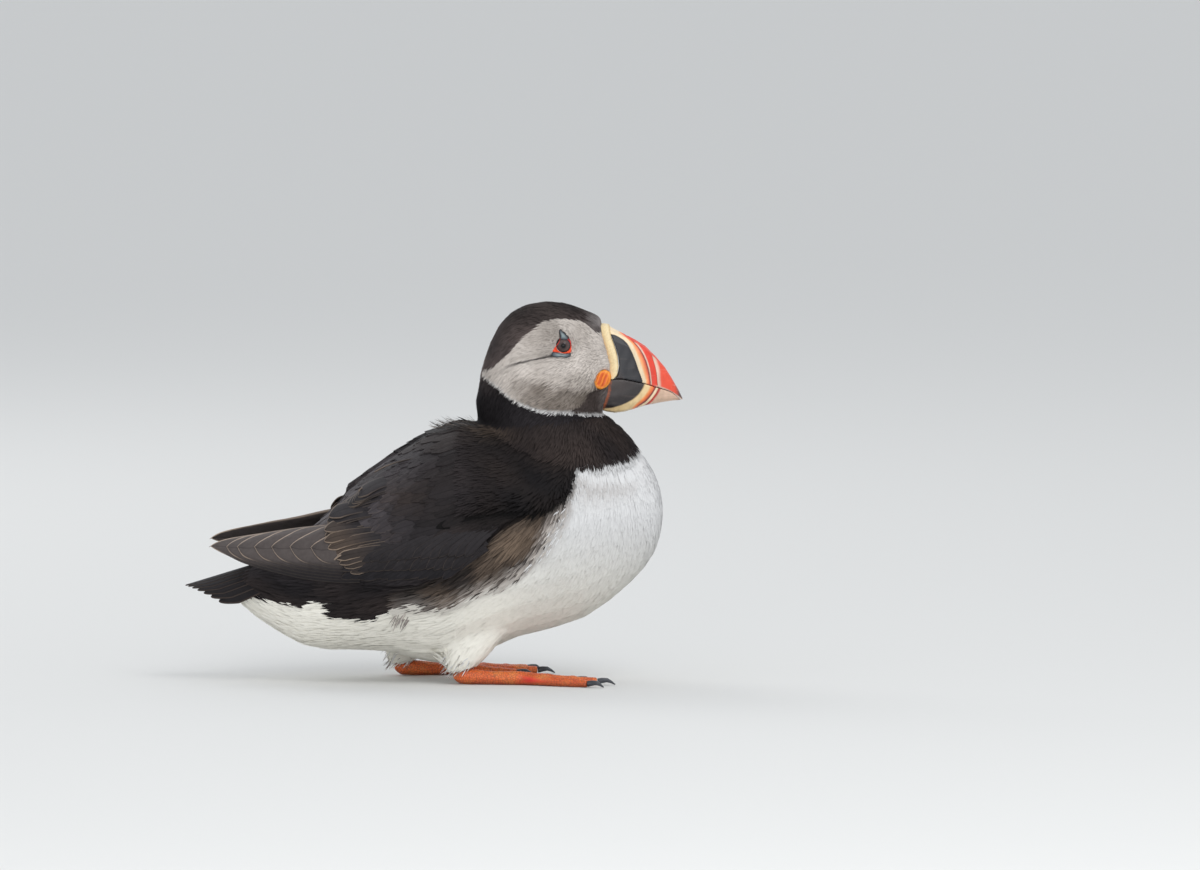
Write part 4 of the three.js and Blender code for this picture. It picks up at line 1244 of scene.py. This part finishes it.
# Rows of larger feathers over the scattered small ones: secondaries, greater coverts, the worn brown tips
# at the wing's rear, tertials, and three single quills. Each row: first and last tip, count, first and last
# slant in degrees below level, first and last length, half width, lift, colour, wear, seed.
WING_ROWS = [
    (((-39, 47.2), (4, 47.6)), 14, (8, 34), (42, 22), 2.2, 1.4, (36, 34, 37), 0.08, 61),
    (((-39, 50.4), (8, 52)), 14, (12, 38), (38, 20), 2.1, 1.9, (41, 38, 40), 0.1, 62),
    (((-38, 54), (14, 58)), 15, (14, 40), (32, 18), 2.1, 2.0, (44, 41, 43), 0.06, 68),
    (((-41, 55), (-35, 50)), 4, (12, 12), (34, 34), 2.0, 3.0, (60, 53, 50), 0.8, 66),
    (((-45.6, 61), (-41, 55.4)), 4, (16, 14), (30, 32), 2.0, 3.2, (78, 67, 60), 1.0, 63),
    (((-45.8, 65.5), (-46, 61.5)), 3, (19, 17), (22, 26), 2.2, 3.4, (66, 58, 54), 0.9, 64),
    (((-43.5, 71), (-45.2, 67.5)), 3, (24, 20), (26, 26), 2.6, 3.5, (48, 45, 47), 0.6, 67),
    (((-31, 80), (-42, 72.5)), 7, (36, 24), (22, 26), 2.2, 2.4, (46, 43, 45), 0.3, 65),
    (((-24.7, 90.6), (-24.7, 90.6)), 1, (20, 20), (27, 27), 0.2, 1.5, (96, 86, 80), 0.3, 71),
    (((-31.4, 82), (-31.4, 82)), 1, (50, 50), (9, 9), 0.2, 3.2, (96, 86, 80), 0.3, 72),
    (((-41.3, 54.6), (-41.3, 54.6)), 1, (30, 30), (13, 13), 0.25, 3.9, (140, 124, 112), 0.8, 73),
]

for side_name in SIDES:
    primaries(side_name)
for side_name, side in SIDES.items():
    wing_surface = side_surface(side_name, (-60, 40), (38, 112), 30)
    wing_pile = Pile()
    for wing_row in WING_ROWS:
        row_of_blades(wing_pile, wing_surface, side, *wing_row)
    wing_pile.piece(f"wing_rows_{side_name}")

RECTRICES = 14
TAIL_ROOT = -62


def tail_roof(low, high):
    """The tail's arched upper surface, carried forwards into the body, as a function of (x, y)."""
    tree = cad_tree("tail")
    places = [(px, py) for px in np.arange(low.x / MM + 2, high.x / MM - 3, 2) for py in range(-13, 14)]
    hits = np.array([(px, py, met(tree, (px, py, 90), (0, 0, -1)).z) for px, py in places])
    hits = hits[~np.isnan(hits[:, 2])]
    facts = np.stack([np.ones(len(hits)), hits[:, 0], hits[:, 1] ** 2], axis=1)
    level, slope, arch = np.linalg.lstsq(facts, hits[:, 2], rcond=None)[0]
    return lambda x, y: level + slope * x + arch * y**2


def tail_fan():
    """Short stiff tail feathers, fanned and arched, the middle pair longest and on top."""
    low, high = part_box("tail")
    roof = tail_roof(low, high)
    across = np.linspace(-1, 1, 7)[None, :]
    middle_feather = (RECTRICES - 1) / 2
    rows = tip_rows(20)
    pile = Pile()
    for k in sorted(range(RECTRICES), key=lambda n: -abs(n - middle_feather)):
        out_share = 2 * k / (RECTRICES - 1) - 1
        tip = low.x / MM + 0.3 + 15 * abs(out_share) ** 1.6
        middle = high.y / MM * out_share * (0.72 + 0.18 * rows)
        half = 3.2 * np.clip((1 - rows) * (TAIL_ROOT - tip) / 9.0, 0.004, 1)[:, None] ** 0.62
        y = middle[:, None] + half * across
        x = np.broadcast_to((TAIL_ROOT + (tip - TAIL_ROOT) * rows)[:, None], y.shape)
        z = roof(x, y)
        lift = 0.14 * (RECTRICES / 2 - abs(k - middle_feather)) + 0.12 * (1 - across**2) - 0.3
        slope = np.gradient(z, axis=1) / (np.gradient(y, axis=1) + 1e-6)
        out = unit(np.stack([0 * x, -slope, 1 + 0 * x], axis=2))
        pile.lay(np.stack([x, y, z + lift], axis=2), out, (1 - np.abs(across)) * half,
                 paint(32, 29, 31), paint(90, 78, 70), 0.4, 45)
    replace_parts(pile.piece("tail_fan"), "tail")


tail_fan()

# ---------------------------------------------------------------- the bill

# Lines across the upper bill from its base to its tip, each as (z, x) places.
UPPER_LINES = [
    [(131.1, 91), (135.6, 89.4), (142.6, 86.8), (147.9, 83.6), (152.3, 76.3), (156, 70)],
    [(131.1, 92.4), (137.5, 90.3), (143.3, 88.1), (147.6, 85.6), (152.3, 79.8), (156, 73)],
    [(130.2, 94.3), (135.6, 93.5), (141.3, 91.6), (146, 88.7), (151, 83.2), (156, 77)],
    [(129.2, 97.7), (134.2, 97.3), (139.3, 96.1), (143.2, 94.8), (146.6, 92.6), (152, 88)],
]
SLATE_REACH = 14
TIP_X = 108.4
LOWER_CENTRE = (72.5, 131.8)
LOWER_REACH = (19.1, 12.8)

SLATE = (28, 28, 34)
SLATE_DUN = (44, 39, 40)
SLATE_BROWN = (74, 64, 62)
HORN_CREAM = (236, 214, 178)
HORN_OCHRE = (232, 203, 152)
HORN_BONE = (208, 176, 152)
HORN_RED = (226, 62, 40)
HORN_SCARLET = (226, 78, 52)
# Painted shade for the bill's grooves.
HORN_GROOVE_SHADE = (120, 52, 46)
HORN_PINK = (226, 190, 170)
HORN_TIP = (92, 70, 64)

# Bands of colour, by how far along the bill they lie: the upper bill's sides, its top ridge, the lower bill.
# The narrow dark bands lie in the grooves cut into the horn: painted shade in the grooves.
UPPER_BANDS = [
    (0.0, SLATE_BROWN), (0.1, SLATE), (0.196, SLATE), (0.206, HORN_CREAM), (0.38, HORN_CREAM),
    (0.45, (244, 168, 110)), (0.52, (236, 128, 80)), (0.575, (198, 80, 56)), (0.597, HORN_GROOVE_SHADE),
    (0.608, HORN_GROOVE_SHADE), (0.618, HORN_PINK), (0.632, HORN_PINK), (0.65, HORN_RED), (0.775, HORN_RED),
    (0.79, HORN_GROOVE_SHADE), (0.797, HORN_PINK), (0.812, HORN_PINK), (0.83, HORN_SCARLET), (0.94, HORN_SCARLET),
    (0.975, HORN_TIP), (1.0, HORN_TIP),
]
RIDGE_BANDS = [
    (0.0, SLATE_BROWN), (0.196, SLATE), (0.206, HORN_CREAM), (0.33, HORN_CREAM), (0.44, (246, 150, 96)),
    (0.52, HORN_RED), (0.93, HORN_SCARLET), (0.975, HORN_TIP), (1.0, HORN_TIP),
]
LOWER_BANDS = [
    (0.0, SLATE_BROWN), (0.44, SLATE_DUN), (0.505, SLATE_DUN), (0.525, HORN_OCHRE), (0.58, HORN_OCHRE),
    (0.605, (243, 142, 76)), (0.632, (214, 92, 54)), (0.645, HORN_GROOVE_SHADE), (0.652, HORN_GROOVE_SHADE),
    (0.66, HORN_CREAM), (0.676, HORN_CREAM), (0.69, (170, 44, 36)), (0.705, (190, 60, 46)),
    (0.72, HORN_BONE), (0.93, HORN_BONE), (1.0, (150, 122, 108)),
]


def upper_band(points):
    """0 at the cere, then 0.2 for each line across, and 1 at the tip."""
    x, z = points.T[::2]
    lines = [over(line, z) for line in UPPER_LINES]
    lines = [lines[0] - SLATE_REACH, *lines, np.maximum(lines[3] + 3, TIP_X)]
    spans = zip(lines, lines[1:])
    band = sum(np.clip((x - rear) / np.maximum(front - rear, 0.2), 0, 1) for rear, front in spans)
    band = band / (len(lines) - 1)
    return band + (0.3 - band) * step(150.5, 152.5, z) * step(83, 79.5, x)


def lower_band(points):
    """Half the distance from the slate's middle, 0.53 at its rounded edge, drawn in along the lower rim."""
    x, z = points.T[::2]
    reach = np.hypot((x - LOWER_CENTRE[0]) / LOWER_REACH[0], (z - LOWER_CENTRE[1]) / LOWER_REACH[1])
    beyond = np.maximum(reach / 2 - 0.53, 0)
    return np.clip(reach / 2 - 0.8 * beyond * step(90, 83, x), 0, 1)


def horn_recipe(side_bands, ridge_bands):
    """Bands of colour over fine growth lines and a little wear."""

    def recipe(tree, place):
        wobble = noise(tree, place, 260.0)
        band = math_node(tree, "ADD", attribute(tree, "band"), math_node(tree, "MULTIPLY", wobble, 0.016))
        band = math_node(tree, "SUBTRACT", band, 0.008)
        bands = ramp(tree, band, *side_bands)
        if ridge_bands:
            bands = mixed(tree, attribute(tree, "ridge"), bands, ramp(tree, band, *ridge_bands))
        lines = noise(tree, stretched(tree, place, (500, 500, 90)), 1.0, 4.0)
        colour = toned(tree, 1.0, bands, ramp(tree, lines, (0.25, 0.82), (0.6, 1.04)))
        scratches = noise(tree, stretched(tree, place, (130, 130, 800), (0, 0.5, 0)), 1.0, 2.0)
        scratched = ramp(tree, scratches, (0.6, 0.0), (0.78, 0.35))
        share = math_node(tree, "MULTIPLY", scratched, attribute(tree, "scuffed"))
        colour = mixed(tree, share, colour, paint(240, 205, 190))
        colour = mixed(tree, attribute(tree, "lip"), colour, paint(222, 190, 172))
        return mixed(tree, attribute(tree, "base"), colour, paint(140, 72, 40)), lines

    return recipe


def fleshy_recipe(scale, share, grain_shades, *stops, stretch=(1, 1, 1), detail=3.0):
    """Colours along a piece's own bands, with a fine grain over them."""

    def recipe(tree, place):
        grain = noise(tree, stretched(tree, place, stretch), scale, detail)
        bands = ramp(tree, attribute(tree, "band"), *stops)
        return toned(tree, share, bands, ramp(tree, grain, *grain_shades)), grain

    return recipe


HORN_SHINE = {"Coat_Weight": 0.25, "Coat_Roughness": 0.25, "Specular_IOR_Level": 0.4}
UPPER_HORN = finish("banded_upper_horn", horn_recipe(UPPER_BANDS, RIDGE_BANDS), 0.42, 0.00008, **HORN_SHINE)
LOWER_HORN = finish("banded_lower_horn", horn_recipe(LOWER_BANDS, None), 0.42, 0.00008, **HORN_SHINE)
CERE_SKIN = finish("cere_skin", fleshy_recipe(
    1500.0, 0.6, [(0.35, 0.78), (0.55, 1.0)],
    (0.0, (140, 84, 56)), (0.1, (176, 120, 78)), (0.24, (232, 206, 156)), (0.75, (240, 220, 176)),
    (1.0, (214, 186, 136)), detail=2.0), 0.5, 0.00008)
ROSETTE_SKIN = finish("rosette_skin", fleshy_recipe(
    900.0, 0.35, [(0.3, 0.75), (0.7, 1.05)],
    (0.0, (200, 78, 12)), (0.35, (226, 108, 20)), (0.7, (236, 128, 28)), (1.0, (240, 156, 50))),
    0.45, 0.00006, Coat_Weight=0.15, Coat_Roughness=0.3)


def beyond_feathers(points):
    return points[:, 0] - over(FEATHER_LINE, np.clip(points[:, 2], 113, 162))


def into_head(points):
    """Carries the rear face of a bill part back into the head, so that no gap shows between them."""
    behind = beyond_feathers(points)
    points[:, 0] -= 3 * step(0.9, 0.1, behind)
    points[:, 1] *= 1 - 0.06 * step(0.6, -1.5, behind)


def bill_half(half, band_of, grooves, material, slot, lip_share):
    """One half of the bill, with grooves cut where its bands meet: each is (band, width, depth)."""
    mesh = one_form(f"{half}_bill", [f"bill_{half}"], 0.3, 9)
    points, normals = points_of(mesh), normals_of(mesh)
    band = band_of(points)
    flatness = np.abs(normals[:, 1])
    cut = sum(deep * hump(band - at, wide) for at, wide, deep in grooves) + 0.05 * ripple(points, 2.2, 71)
    points -= normals * (cut * flatness**0.5)[:, None]
    into_head(points)
    move_points(mesh, points)
    x, z = points.T[::2]
    above_gape = z - over(GAPE, np.clip(x, 66, 109))
    store(
        mesh, "FLOAT", band=band,
        ridge=step(0.75, 0.35, flatness) * step(120, 126, z),
        base=step(0.85, 0.5, beyond_feathers(points)) * step(131.5, 130.5, z),
        scuffed=0.15 + 0.85 * step(0.62, 0.75, band) * step(12, 0, above_gape),
        lip=lip_share * step(1.0, 0.3, above_gape) * step(95, 99, x) * (z > 118),
    )
    finished(new_piece(f"{half}_bill", mesh, material), slot, f"bill_{half}")


UPPER_GROOVES = [(0.2, 0.008, 0.12), (0.602, 0.016, 0.42), (0.795, 0.018, 0.36), (0.4, 0.02, -0.15)]
bill_half("upper", upper_band, UPPER_GROOVES, UPPER_HORN, "red_horn", 1)
bill_half("lower", lower_band, [(0.53, 0.01, 0.1), (0.648, 0.009, 0.3), (0.697, 0.01, 0.25)],
          LOWER_HORN, "slate_horn", 0)


def build_cere():
    """The pitted cream band round the base of the upper bill, swollen between two creases."""
    mesh = one_form("cere", ["bill_cere"], 0.25, 7)
    points, normals = points_of(mesh), normals_of(mesh)
    rear = over(FEATHER_LINE, points[:, 2])
    band = np.clip((points[:, 0] - rear) / (over(CERE_FRONT, points[:, 2]) - rear), 0, 1)
    swell = 0.45 * np.sin(math.pi * np.clip(band * 1.1 - 0.05, 0, 1)) + 0.06 * ripple(points, 1.3, 73)
    points += normals * (swell - 0.15)[:, None] * np.abs(normals[:, 1:2]) ** 0.5
    points[:, 0] += (points[:, 0] - rear) * 0.5 * step(149, 156, points[:, 2]) * step(0.2, 0.6, band)
    points[:, 2] -= 0.35 * (points[:, 2] - 154) * step(154, 156, points[:, 2])
    into_head(points)
    move_points(mesh, points)
    store(mesh, "FLOAT", band=band)
    finished(new_piece("cere", mesh, CERE_SKIN), "cream_horn", "bill_cere")


build_cere()

ROSETTE_LEAN = -0.42


def build_rosette(side_name):
    """The wrinkled fleshy pad at a corner of the mouth, with a raised rim and folds along its length."""
    name, cad_name = f"rosette_{side_name}", f"gape_rosette_{side_name}"
    mesh = one_form(name, [cad_name], 0.2, 5)
    points, normals = points_of(mesh), normals_of(mesh)
    centre = (points.max(0) + points.min(0)) / 2
    points[:, 0] += 0.28 * (points[:, 0] - centre[0])
    x, z = (points - centre).T[::2]
    along = x * math.sin(-ROSETTE_LEAN) + z * math.cos(ROSETTE_LEAN)
    across = x * math.cos(ROSETTE_LEAN) - z * math.sin(-ROSETTE_LEAN)
    round_share = np.hypot(along / 4.6, across / 3.7)
    rim = hump(round_share - 0.82, 0.14)
    folds = np.cos(across * 2 * math.pi / 1.9 + 0.35 * np.sin(along)) * step(0.85, 0.55, round_share)
    outer = step(0.1, 0.5, np.abs(normals[:, 1]))
    points += normals * ((0.28 * rim + 0.26 * folds) * outer)[:, None]
    move_points(mesh, points)
    # The colour follows the relief: the folds' troughs are darker, a painted shade, and their crests and the
    # raised rim lighter.
    store(mesh, "FLOAT", band=np.clip(0.35 + 0.35 * folds + 0.6 * rim, 0, 1))
    finished(new_piece(name, mesh, ROSETTE_SKIN), "gape_skin", cad_name)


for side_name in SIDES:
    build_rosette(side_name)


# ---------------------------------------------------------------- eyes, lids and the plates round them

IRIS_EDGE = (3.15, 2.95)


def eye_recipe(tree, place):
    fibres = noise(tree, stretched(tree, place, (1500, 300, 1500)), 1.0, 4.0)
    iris = ramp(
        tree, attribute(tree, "band"),
        (0.0, (6, 6, 8)), (0.18, (6, 6, 8)), (0.22, (62, 50, 49)), (0.42, (90, 74, 71)), (0.54, (70, 58, 57)),
        (0.6, (30, 26, 26)), (1.0, (10, 9, 9)),
    )
    return toned(tree, 0.5, iris, ramp(tree, fibres, (0.3, 0.7), (0.7, 1.15))), None


EYE_GLOSS = finish("eye_gloss", eye_recipe, 0.15,
                   Coat_Weight=0.25, Coat_Roughness=0.05, Specular_IOR_Level=0.15)
LID_SKIN = finish("lid_skin", fleshy_recipe(
    1400.0, 0.5, [(0.3, 0.75), (0.7, 1.05)],
    (0.0, (250, 92, 50)), (0.35, (236, 60, 38)), (0.52, (196, 34, 36)), (0.62, (110, 24, 30)),
    (0.68, (40, 32, 34)), (1.0, (40, 34, 36))), 0.45, 0.00004, Specular_IOR_Level=0.3)
LID_PLATE = finish("lid_plate", fleshy_recipe(
    1.0, 0.6, [(0.3, 0.7), (0.7, 1.1)],
    (0.0, (30, 30, 34)), (0.3, (70, 76, 82)), (0.7, (96, 106, 112)), (1.0, (128, 142, 144)),
    stretch=(500, 500, 900), detail=4.0), 0.4, 0.00004, Specular_IOR_Level=0.4)


def closed_shell(name, rings, caps):
    """A mesh from closed rings of points. Without caps the last ring joins the first, as on a tyre."""
    count, around = rings.shape[:2]
    following = [(j, (j + 1) % around) for j in range(around)]
    faces = []
    for i in range(count - 1 if caps else count):
        a, b = i * around, (i + 1) % count * around
        faces += [(a + j, a + k, b + k, b + j) for j, k in following]
    points = rings.reshape(-1, 3)
    if caps:
        first, last = len(points), (count - 1) * around
        points = np.concatenate([points, rings[:1].mean(1), rings[-1:].mean(1)])
        for j, k in following:
            faces += [(k, j, first), (last + j, last + k, first + 1)]
    mesh = mesh_from(name, points, faces)
    face_outwards(mesh)
    return mesh


def round_the_eye(outline, angles):
    """How far an outline lies from the eye's middle, in each direction."""
    line = smooth_line(outline, 8, closed=True)
    way = np.arctan2(line[:, 1], line[:, 0])
    order = np.argsort(way)
    return np.interp(angles, way[order], np.hypot(*line.T)[order], period=2 * math.pi)


def lid_level(x, z):
    """How far out the lids' surface stands, on the eyeball and further out on the head."""
    far = np.hypot(x, z)
    off_ball = np.minimum(far, IRIS_EDGE[0])
    on_ball = EYE["y"] + np.sqrt(np.maximum(EYE["radius"] ** 2 - off_ball**2, 0.5)) + 0.22
    on_head = step(2.7, 4.6, far)
    return on_ball * (1 - on_head) + (head_plane(x, z) + 0.75) * on_head


def build_eyeball(name, side):
    ball = bmesh.new()
    turned = Vector((0, 0, 1)).rotation_difference(Vector((0, side, 0))).to_matrix().to_4x4()
    bmesh.ops.create_uvsphere(ball, u_segments=48, v_segments=40, radius=EYE["radius"], matrix=turned)
    mesh = bpy.data.meshes.new(name)
    ball.to_mesh(mesh)
    ball.free()
    points = points_of(mesh) * MM
    far = np.hypot(points[:, 0], points[:, 2])
    front = points[:, 1] * side > 0
    points[:, 1] += side * np.where(front, 0.3 * hump(far, 2.2), 0)
    move_points(mesh, points + [EYE["x"], side * EYE["y"], EYE["z"]])
    mesh.shade_smooth()
    store(mesh, "FLOAT", band=np.where(front, far / 5, 1))
    return new_piece(name, mesh, EYE_GLOSS)


def placed(x, level, z, side):
    """Places round the eye's middle, on the bird's head."""
    return np.stack([EYE["x"] + x, side * level, EYE["z"] + z], axis=-1)


# Across the lids' ring from the iris outwards, each (share of its width, height).
LID_SECTION = [(0, -1.4), (0, 0.0), (0.12, 0.22), (0.35, 0.3), (0.65, 0.22), (0.9, 0.0), (1, -0.3), (1, -1.8)]
# From a plate's edge to its middle, each (share of its outline, height, band).
PLATE_SECTION = [
    (1.0, -0.6, 0.24), (1.0, 0.1, 0.24), (0.93, 0.3, 0.112), (0.8, 0.48, 0.32), (0.55, 0.62, 0.72),
    (0.28, 0.68, 1.0),
]


def build_lids(name, side):
    """The lids as one fleshy ring: it starts on the eyeball, swells, and sinks into the feathers."""
    angles = np.linspace(-math.pi, math.pi, 96, endpoint=False)
    outer = round_the_eye(LID_OUTER, angles)
    inner = 1 / np.hypot(np.cos(angles) / IRIS_EDGE[0], np.sin(angles) / IRIS_EDGE[1])
    inner = np.minimum(inner, outer - 0.3)
    rings, bands = [], []
    for share, height in LID_SECTION:
        far = inner + (outer - inner) * share
        x, z = far * np.cos(angles), far * np.sin(angles)
        swell = height * np.clip((outer - inner) / 0.8, 0.5, 1.2) if height > 0 else height
        rings.append(placed(x, lid_level(x, z) - 0.12 + swell, z, side))
        bands.append(np.clip((z + 3.6) / 10.5, 0, 1))
    mesh = closed_shell(name, np.array(rings), False)
    store(mesh, "FLOAT", band=np.concatenate(bands))
    return new_piece(name, mesh, LID_SKIN)


def build_plate(name, outline, side, swell):
    """A small horny plate on the lids, domed and rounded at its edge."""
    line = smooth_line(outline, 5, closed=True)
    centre = line.mean(0)
    rings = []
    for share, height, _ in PLATE_SECTION:
        x, z = (centre + (line - centre) * share).T
        rings.append(placed(x, lid_level(x, z) + height * swell, z, side))
    mesh = closed_shell(name, np.array(rings), True)
    bands = np.repeat([band for *_, band in PLATE_SECTION], len(line))
    store(mesh, "FLOAT", band=np.append(bands, [0, 0.9]))
    return new_piece(name, mesh, LID_PLATE)


head_plane = eye_plane(skin_points)
for side_name, side in SIDES.items():
    finished(build_eyeball(f"eyeball_{side_name}", side), "eye_gloss", f"eye_{side_name}")
    finished(build_lids(f"lids_{side_name}", side), "lid_skin", f"eyelid_ring_{side_name}")
    for plate, outline, swell in (("brow_plate", BROW_PLATE, 0.8), ("cheek_plate", CHEEK_PLATE, 1.0)):
        horn = build_plate(f"{plate}_horn_{side_name}", outline, side, swell)
        finished(horn, "lid_plate", f"{plate}_{side_name}")


# ---------------------------------------------------------------- feet

SCALE_ROW = 1.15
TOE_RADIUS = 2.3
TOES = ("inner", "middle", "outer")


def leg_recipe(tree, place):
    """Orange scaled toes and shank, with red webs creased lengthwise; painted shade darkens the webs' creases
    and the toes near the floor.
    """
    web = attribute(tree, "web")
    turns = math_node(tree, "MULTIPLY", attribute(tree, "along"), 2 * math.pi / SCALE_ROW)
    bars = math_node(tree, "SINE", turns)
    bars = ramp(tree, math_node(tree, "MULTIPLY_ADD", bars, 0.5), (0.0, 0.2), (0.35, 1.0))
    cells = {"Vector": place, "Scale": 950.0}
    cells = add(tree, "ShaderNodeTexVoronoi", cells, feature="DISTANCE_TO_EDGE").outputs[0]
    scales = toned(tree, 0.45, ramp(tree, cells, (0.0, 0.0), (0.2, 1.0)), bars)
    patches = noise(tree, place, 160.0)
    toes = ramp(tree, patches, (0.3, (206, 84, 36)), (0.5, (226, 108, 46)), (0.72, (228, 138, 72)))
    toes = toned(tree, 0.9, toes, ramp(tree, scales, (0.0, 0.42), (0.6, 1.0)))
    # Painted shade: the toes darken within a few millimetres of the floor.
    painted_floor_shade = math_node(tree, "MULTIPLY", split(tree, place)[2], 200.0)
    toes = toned(tree, 1.0, toes, ramp(tree, painted_floor_shade, (0.0, 0.45), (0.5, 1.0)))
    webs = ramp(tree, patches, (0.3, (206, 44, 28)), (0.7, (232, 74, 44)))
    # Painted shade: the webs darken in the troughs of their creases.
    webs = toned(tree, 0.8, webs, ramp(tree, attribute(tree, "crease"), (0.0, 0.5), (0.35, 1.0)))
    height = mixed(tree, web, scales, ramp(tree, patches, (0.0, 0.4), (1.0, 0.6)))
    return mixed(tree, web, toes, webs), height


def claw_recipe(tree, place):
    lines = noise(tree, stretched(tree, place, (150, 900, 900)), 1.0)
    return ramp(tree, lines, (0.3, (40, 40, 45)), (0.6, (66, 68, 74)), (0.85, (104, 106, 110))), lines


LEG_SKIN = finish("leg_skin", leg_recipe, 0.42, 0.00012, Coat_Weight=0.12, Coat_Roughness=0.35)
CLAW_HORN = finish("claw_horn", claw_recipe, 0.35, 0.00005)


def end_of(cad_name, front):
    """The middle of a CAD node's front or rear end, seen from above."""
    points = points_of(nodes[cad_name].data)
    x = points[:, 0]
    near = x > x.max() - 1.5 if front else x < x.min() + 1.5
    return points[near].mean(0)[:2]


def build_foot(side_name):
    parts = ["shank", "foot", *(f"claw_{toe}" for toe in TOES)]
    shank, foot, *claws = (f"{part}_{side_name}" for part in parts)
    mesh = one_form(f"leg_{side_name}", [shank, foot], 0.42, 4)
    points, normals = points_of(mesh), normals_of(mesh)
    x, y, z = points.T
    joint, heel = end_of(shank, True), end_of(shank, False)
    gap = np.full(len(x), 1e9)
    along, on_toe = np.zeros(len(x)), np.zeros(len(x))
    for start, end in [(heel, joint)] + [(joint, end_of(claw, False)) for claw in claws]:
        run = end - start
        length = np.linalg.norm(run)
        share = np.clip(((x - start[0]) * run[0] + (y - start[1]) * run[1]) / length**2, 0, 1)
        far = np.hypot(x - start[0] - share * run[0], y - start[1] - share * run[1])
        closer = far < gap
        gap = np.where(closer, far, gap)
        along = np.where(closer, share * length, along)
        on_toe = np.where(closer, share if start is joint else 0, on_toe)
    web = step(TOE_RADIUS * 0.85, TOE_RADIUS * 1.15, gap) * step(joint[0] - 4, joint[0] + 4, x)
    angle = np.arctan2(y - joint[1], x - joint[0] + 6)
    creases = np.cos(angle * 34 + 0.8 * ripple(points, 9, 81))
    rows = np.cos(2 * math.pi * along / SCALE_ROW)
    knuckle = (hump(on_toe - 0.34, 0.05) + hump(on_toe - 0.68, 0.05)) * (on_toe > 0)
    relief = web * 0.22 * creases + (1 - web) * (0.05 * rows + 0.3 * knuckle)
    relief = relief * step(0.2, 0.7, normals[:, 2]) + 0.05 * ripple(points, 1.6, 82)
    points += normals * (relief * step(0.05, 0.8, z))[:, None]
    points[:, 2] = np.maximum(points[:, 2], 0)
    move_points(mesh, points)
    store(mesh, "FLOAT", web=web, along=along, crease=(creases + 1) / 2)
    leg = new_piece(f"leg_{side_name}", mesh, LEG_SKIN)
    horn = new_piece(f"claws_{side_name}", one_form(f"claws_{side_name}", claws, 0.2, 3), CLAW_HORN)
    finished(leg, "leg_skin", shank, foot)
    finished(horn, "claw_horn", *claws)


for side_name in SIDES:
    build_foot(side_name)


# ---------------------------------------------------------------- camera, floor and light, in metres

VIEW_CENTRE = Vector((72.5, 0, 106.8)) * MM
VIEW_WIDTH = 0.522
CAMERA_DISTANCE = 7.0
CAMERA_RISE = math.radians(4)
FLOOR_HALF = 60.0


def set_up(name, data, place, aim):
    """Stands a camera or a lamp at a place, turned to what it aims at."""
    thing = bpy.data.objects.new(name, data)
    bpy.context.scene.collection.objects.link(thing)
    thing.location = place
    thing.rotation_euler = (Vector(aim) - Vector(place)).to_track_quat("-Z", "Y").to_euler()
    return thing


def set_camera():
    data = bpy.data.cameras.new("camera")
    data.sensor_width = 36
    data.lens = data.sensor_width * CAMERA_DISTANCE / VIEW_WIDTH
    data.clip_end = 200
    away = Vector((0, -math.cos(CAMERA_RISE), math.sin(CAMERA_RISE)))
    bpy.context.scene.camera = set_up("camera", data, VIEW_CENTRE + CAMERA_DISTANCE * away, VIEW_CENTRE)


def set_floor():
    corners = [(x * FLOOR_HALF, y * FLOOR_HALF, 0) for x, y in ((-1, -1), (1, -1), (1, 1), (-1, 1))]
    mesh = bpy.data.meshes.new("floor")
    mesh.from_pydata(corners, [], [(0, 1, 2, 3)])
    material = bpy.data.materials.new("pale_floor")
    material.use_nodes = True
    shader = material.node_tree.nodes["Principled BSDF"]
    shader.inputs["Base Color"].default_value = paint(218, 218, 216)
    shader.inputs["Roughness"].default_value = 0.9
    new_piece("floor", mesh, material)


def lamp(name, place, aim, power, size):
    data = bpy.data.lights.new(name, "AREA")
    data.energy = power
    data.size = size
    set_up(name, data, place, aim)


def set_light():
    """A soft bright sky, a large lamp high in front, a weak one behind, a low wide one for the underside."""
    world = bpy.data.worlds.new("sky")
    bpy.context.scene.world = world
    world.use_nodes = True
    sky = world.node_tree.nodes["Background"]
    sky.inputs["Color"].default_value = paint(235, 238, 242)
    sky.inputs["Strength"].default_value = 0.95
    lamp("key", (0.7, -1.1, 1.5), (0, 0, 0.08), 9, 1.0)
    lamp("rim", (-0.9, 1.2, 1.2), (0, 0, 0.08), 6, 1.0)
    lamp("fill", (0.1, -1.7, 0.2), (0, 0, 0.05), 8, 1.2)
    bpy.context.scene.view_settings.view_transform = "Standard"


set_camera()
set_floor()
set_light()
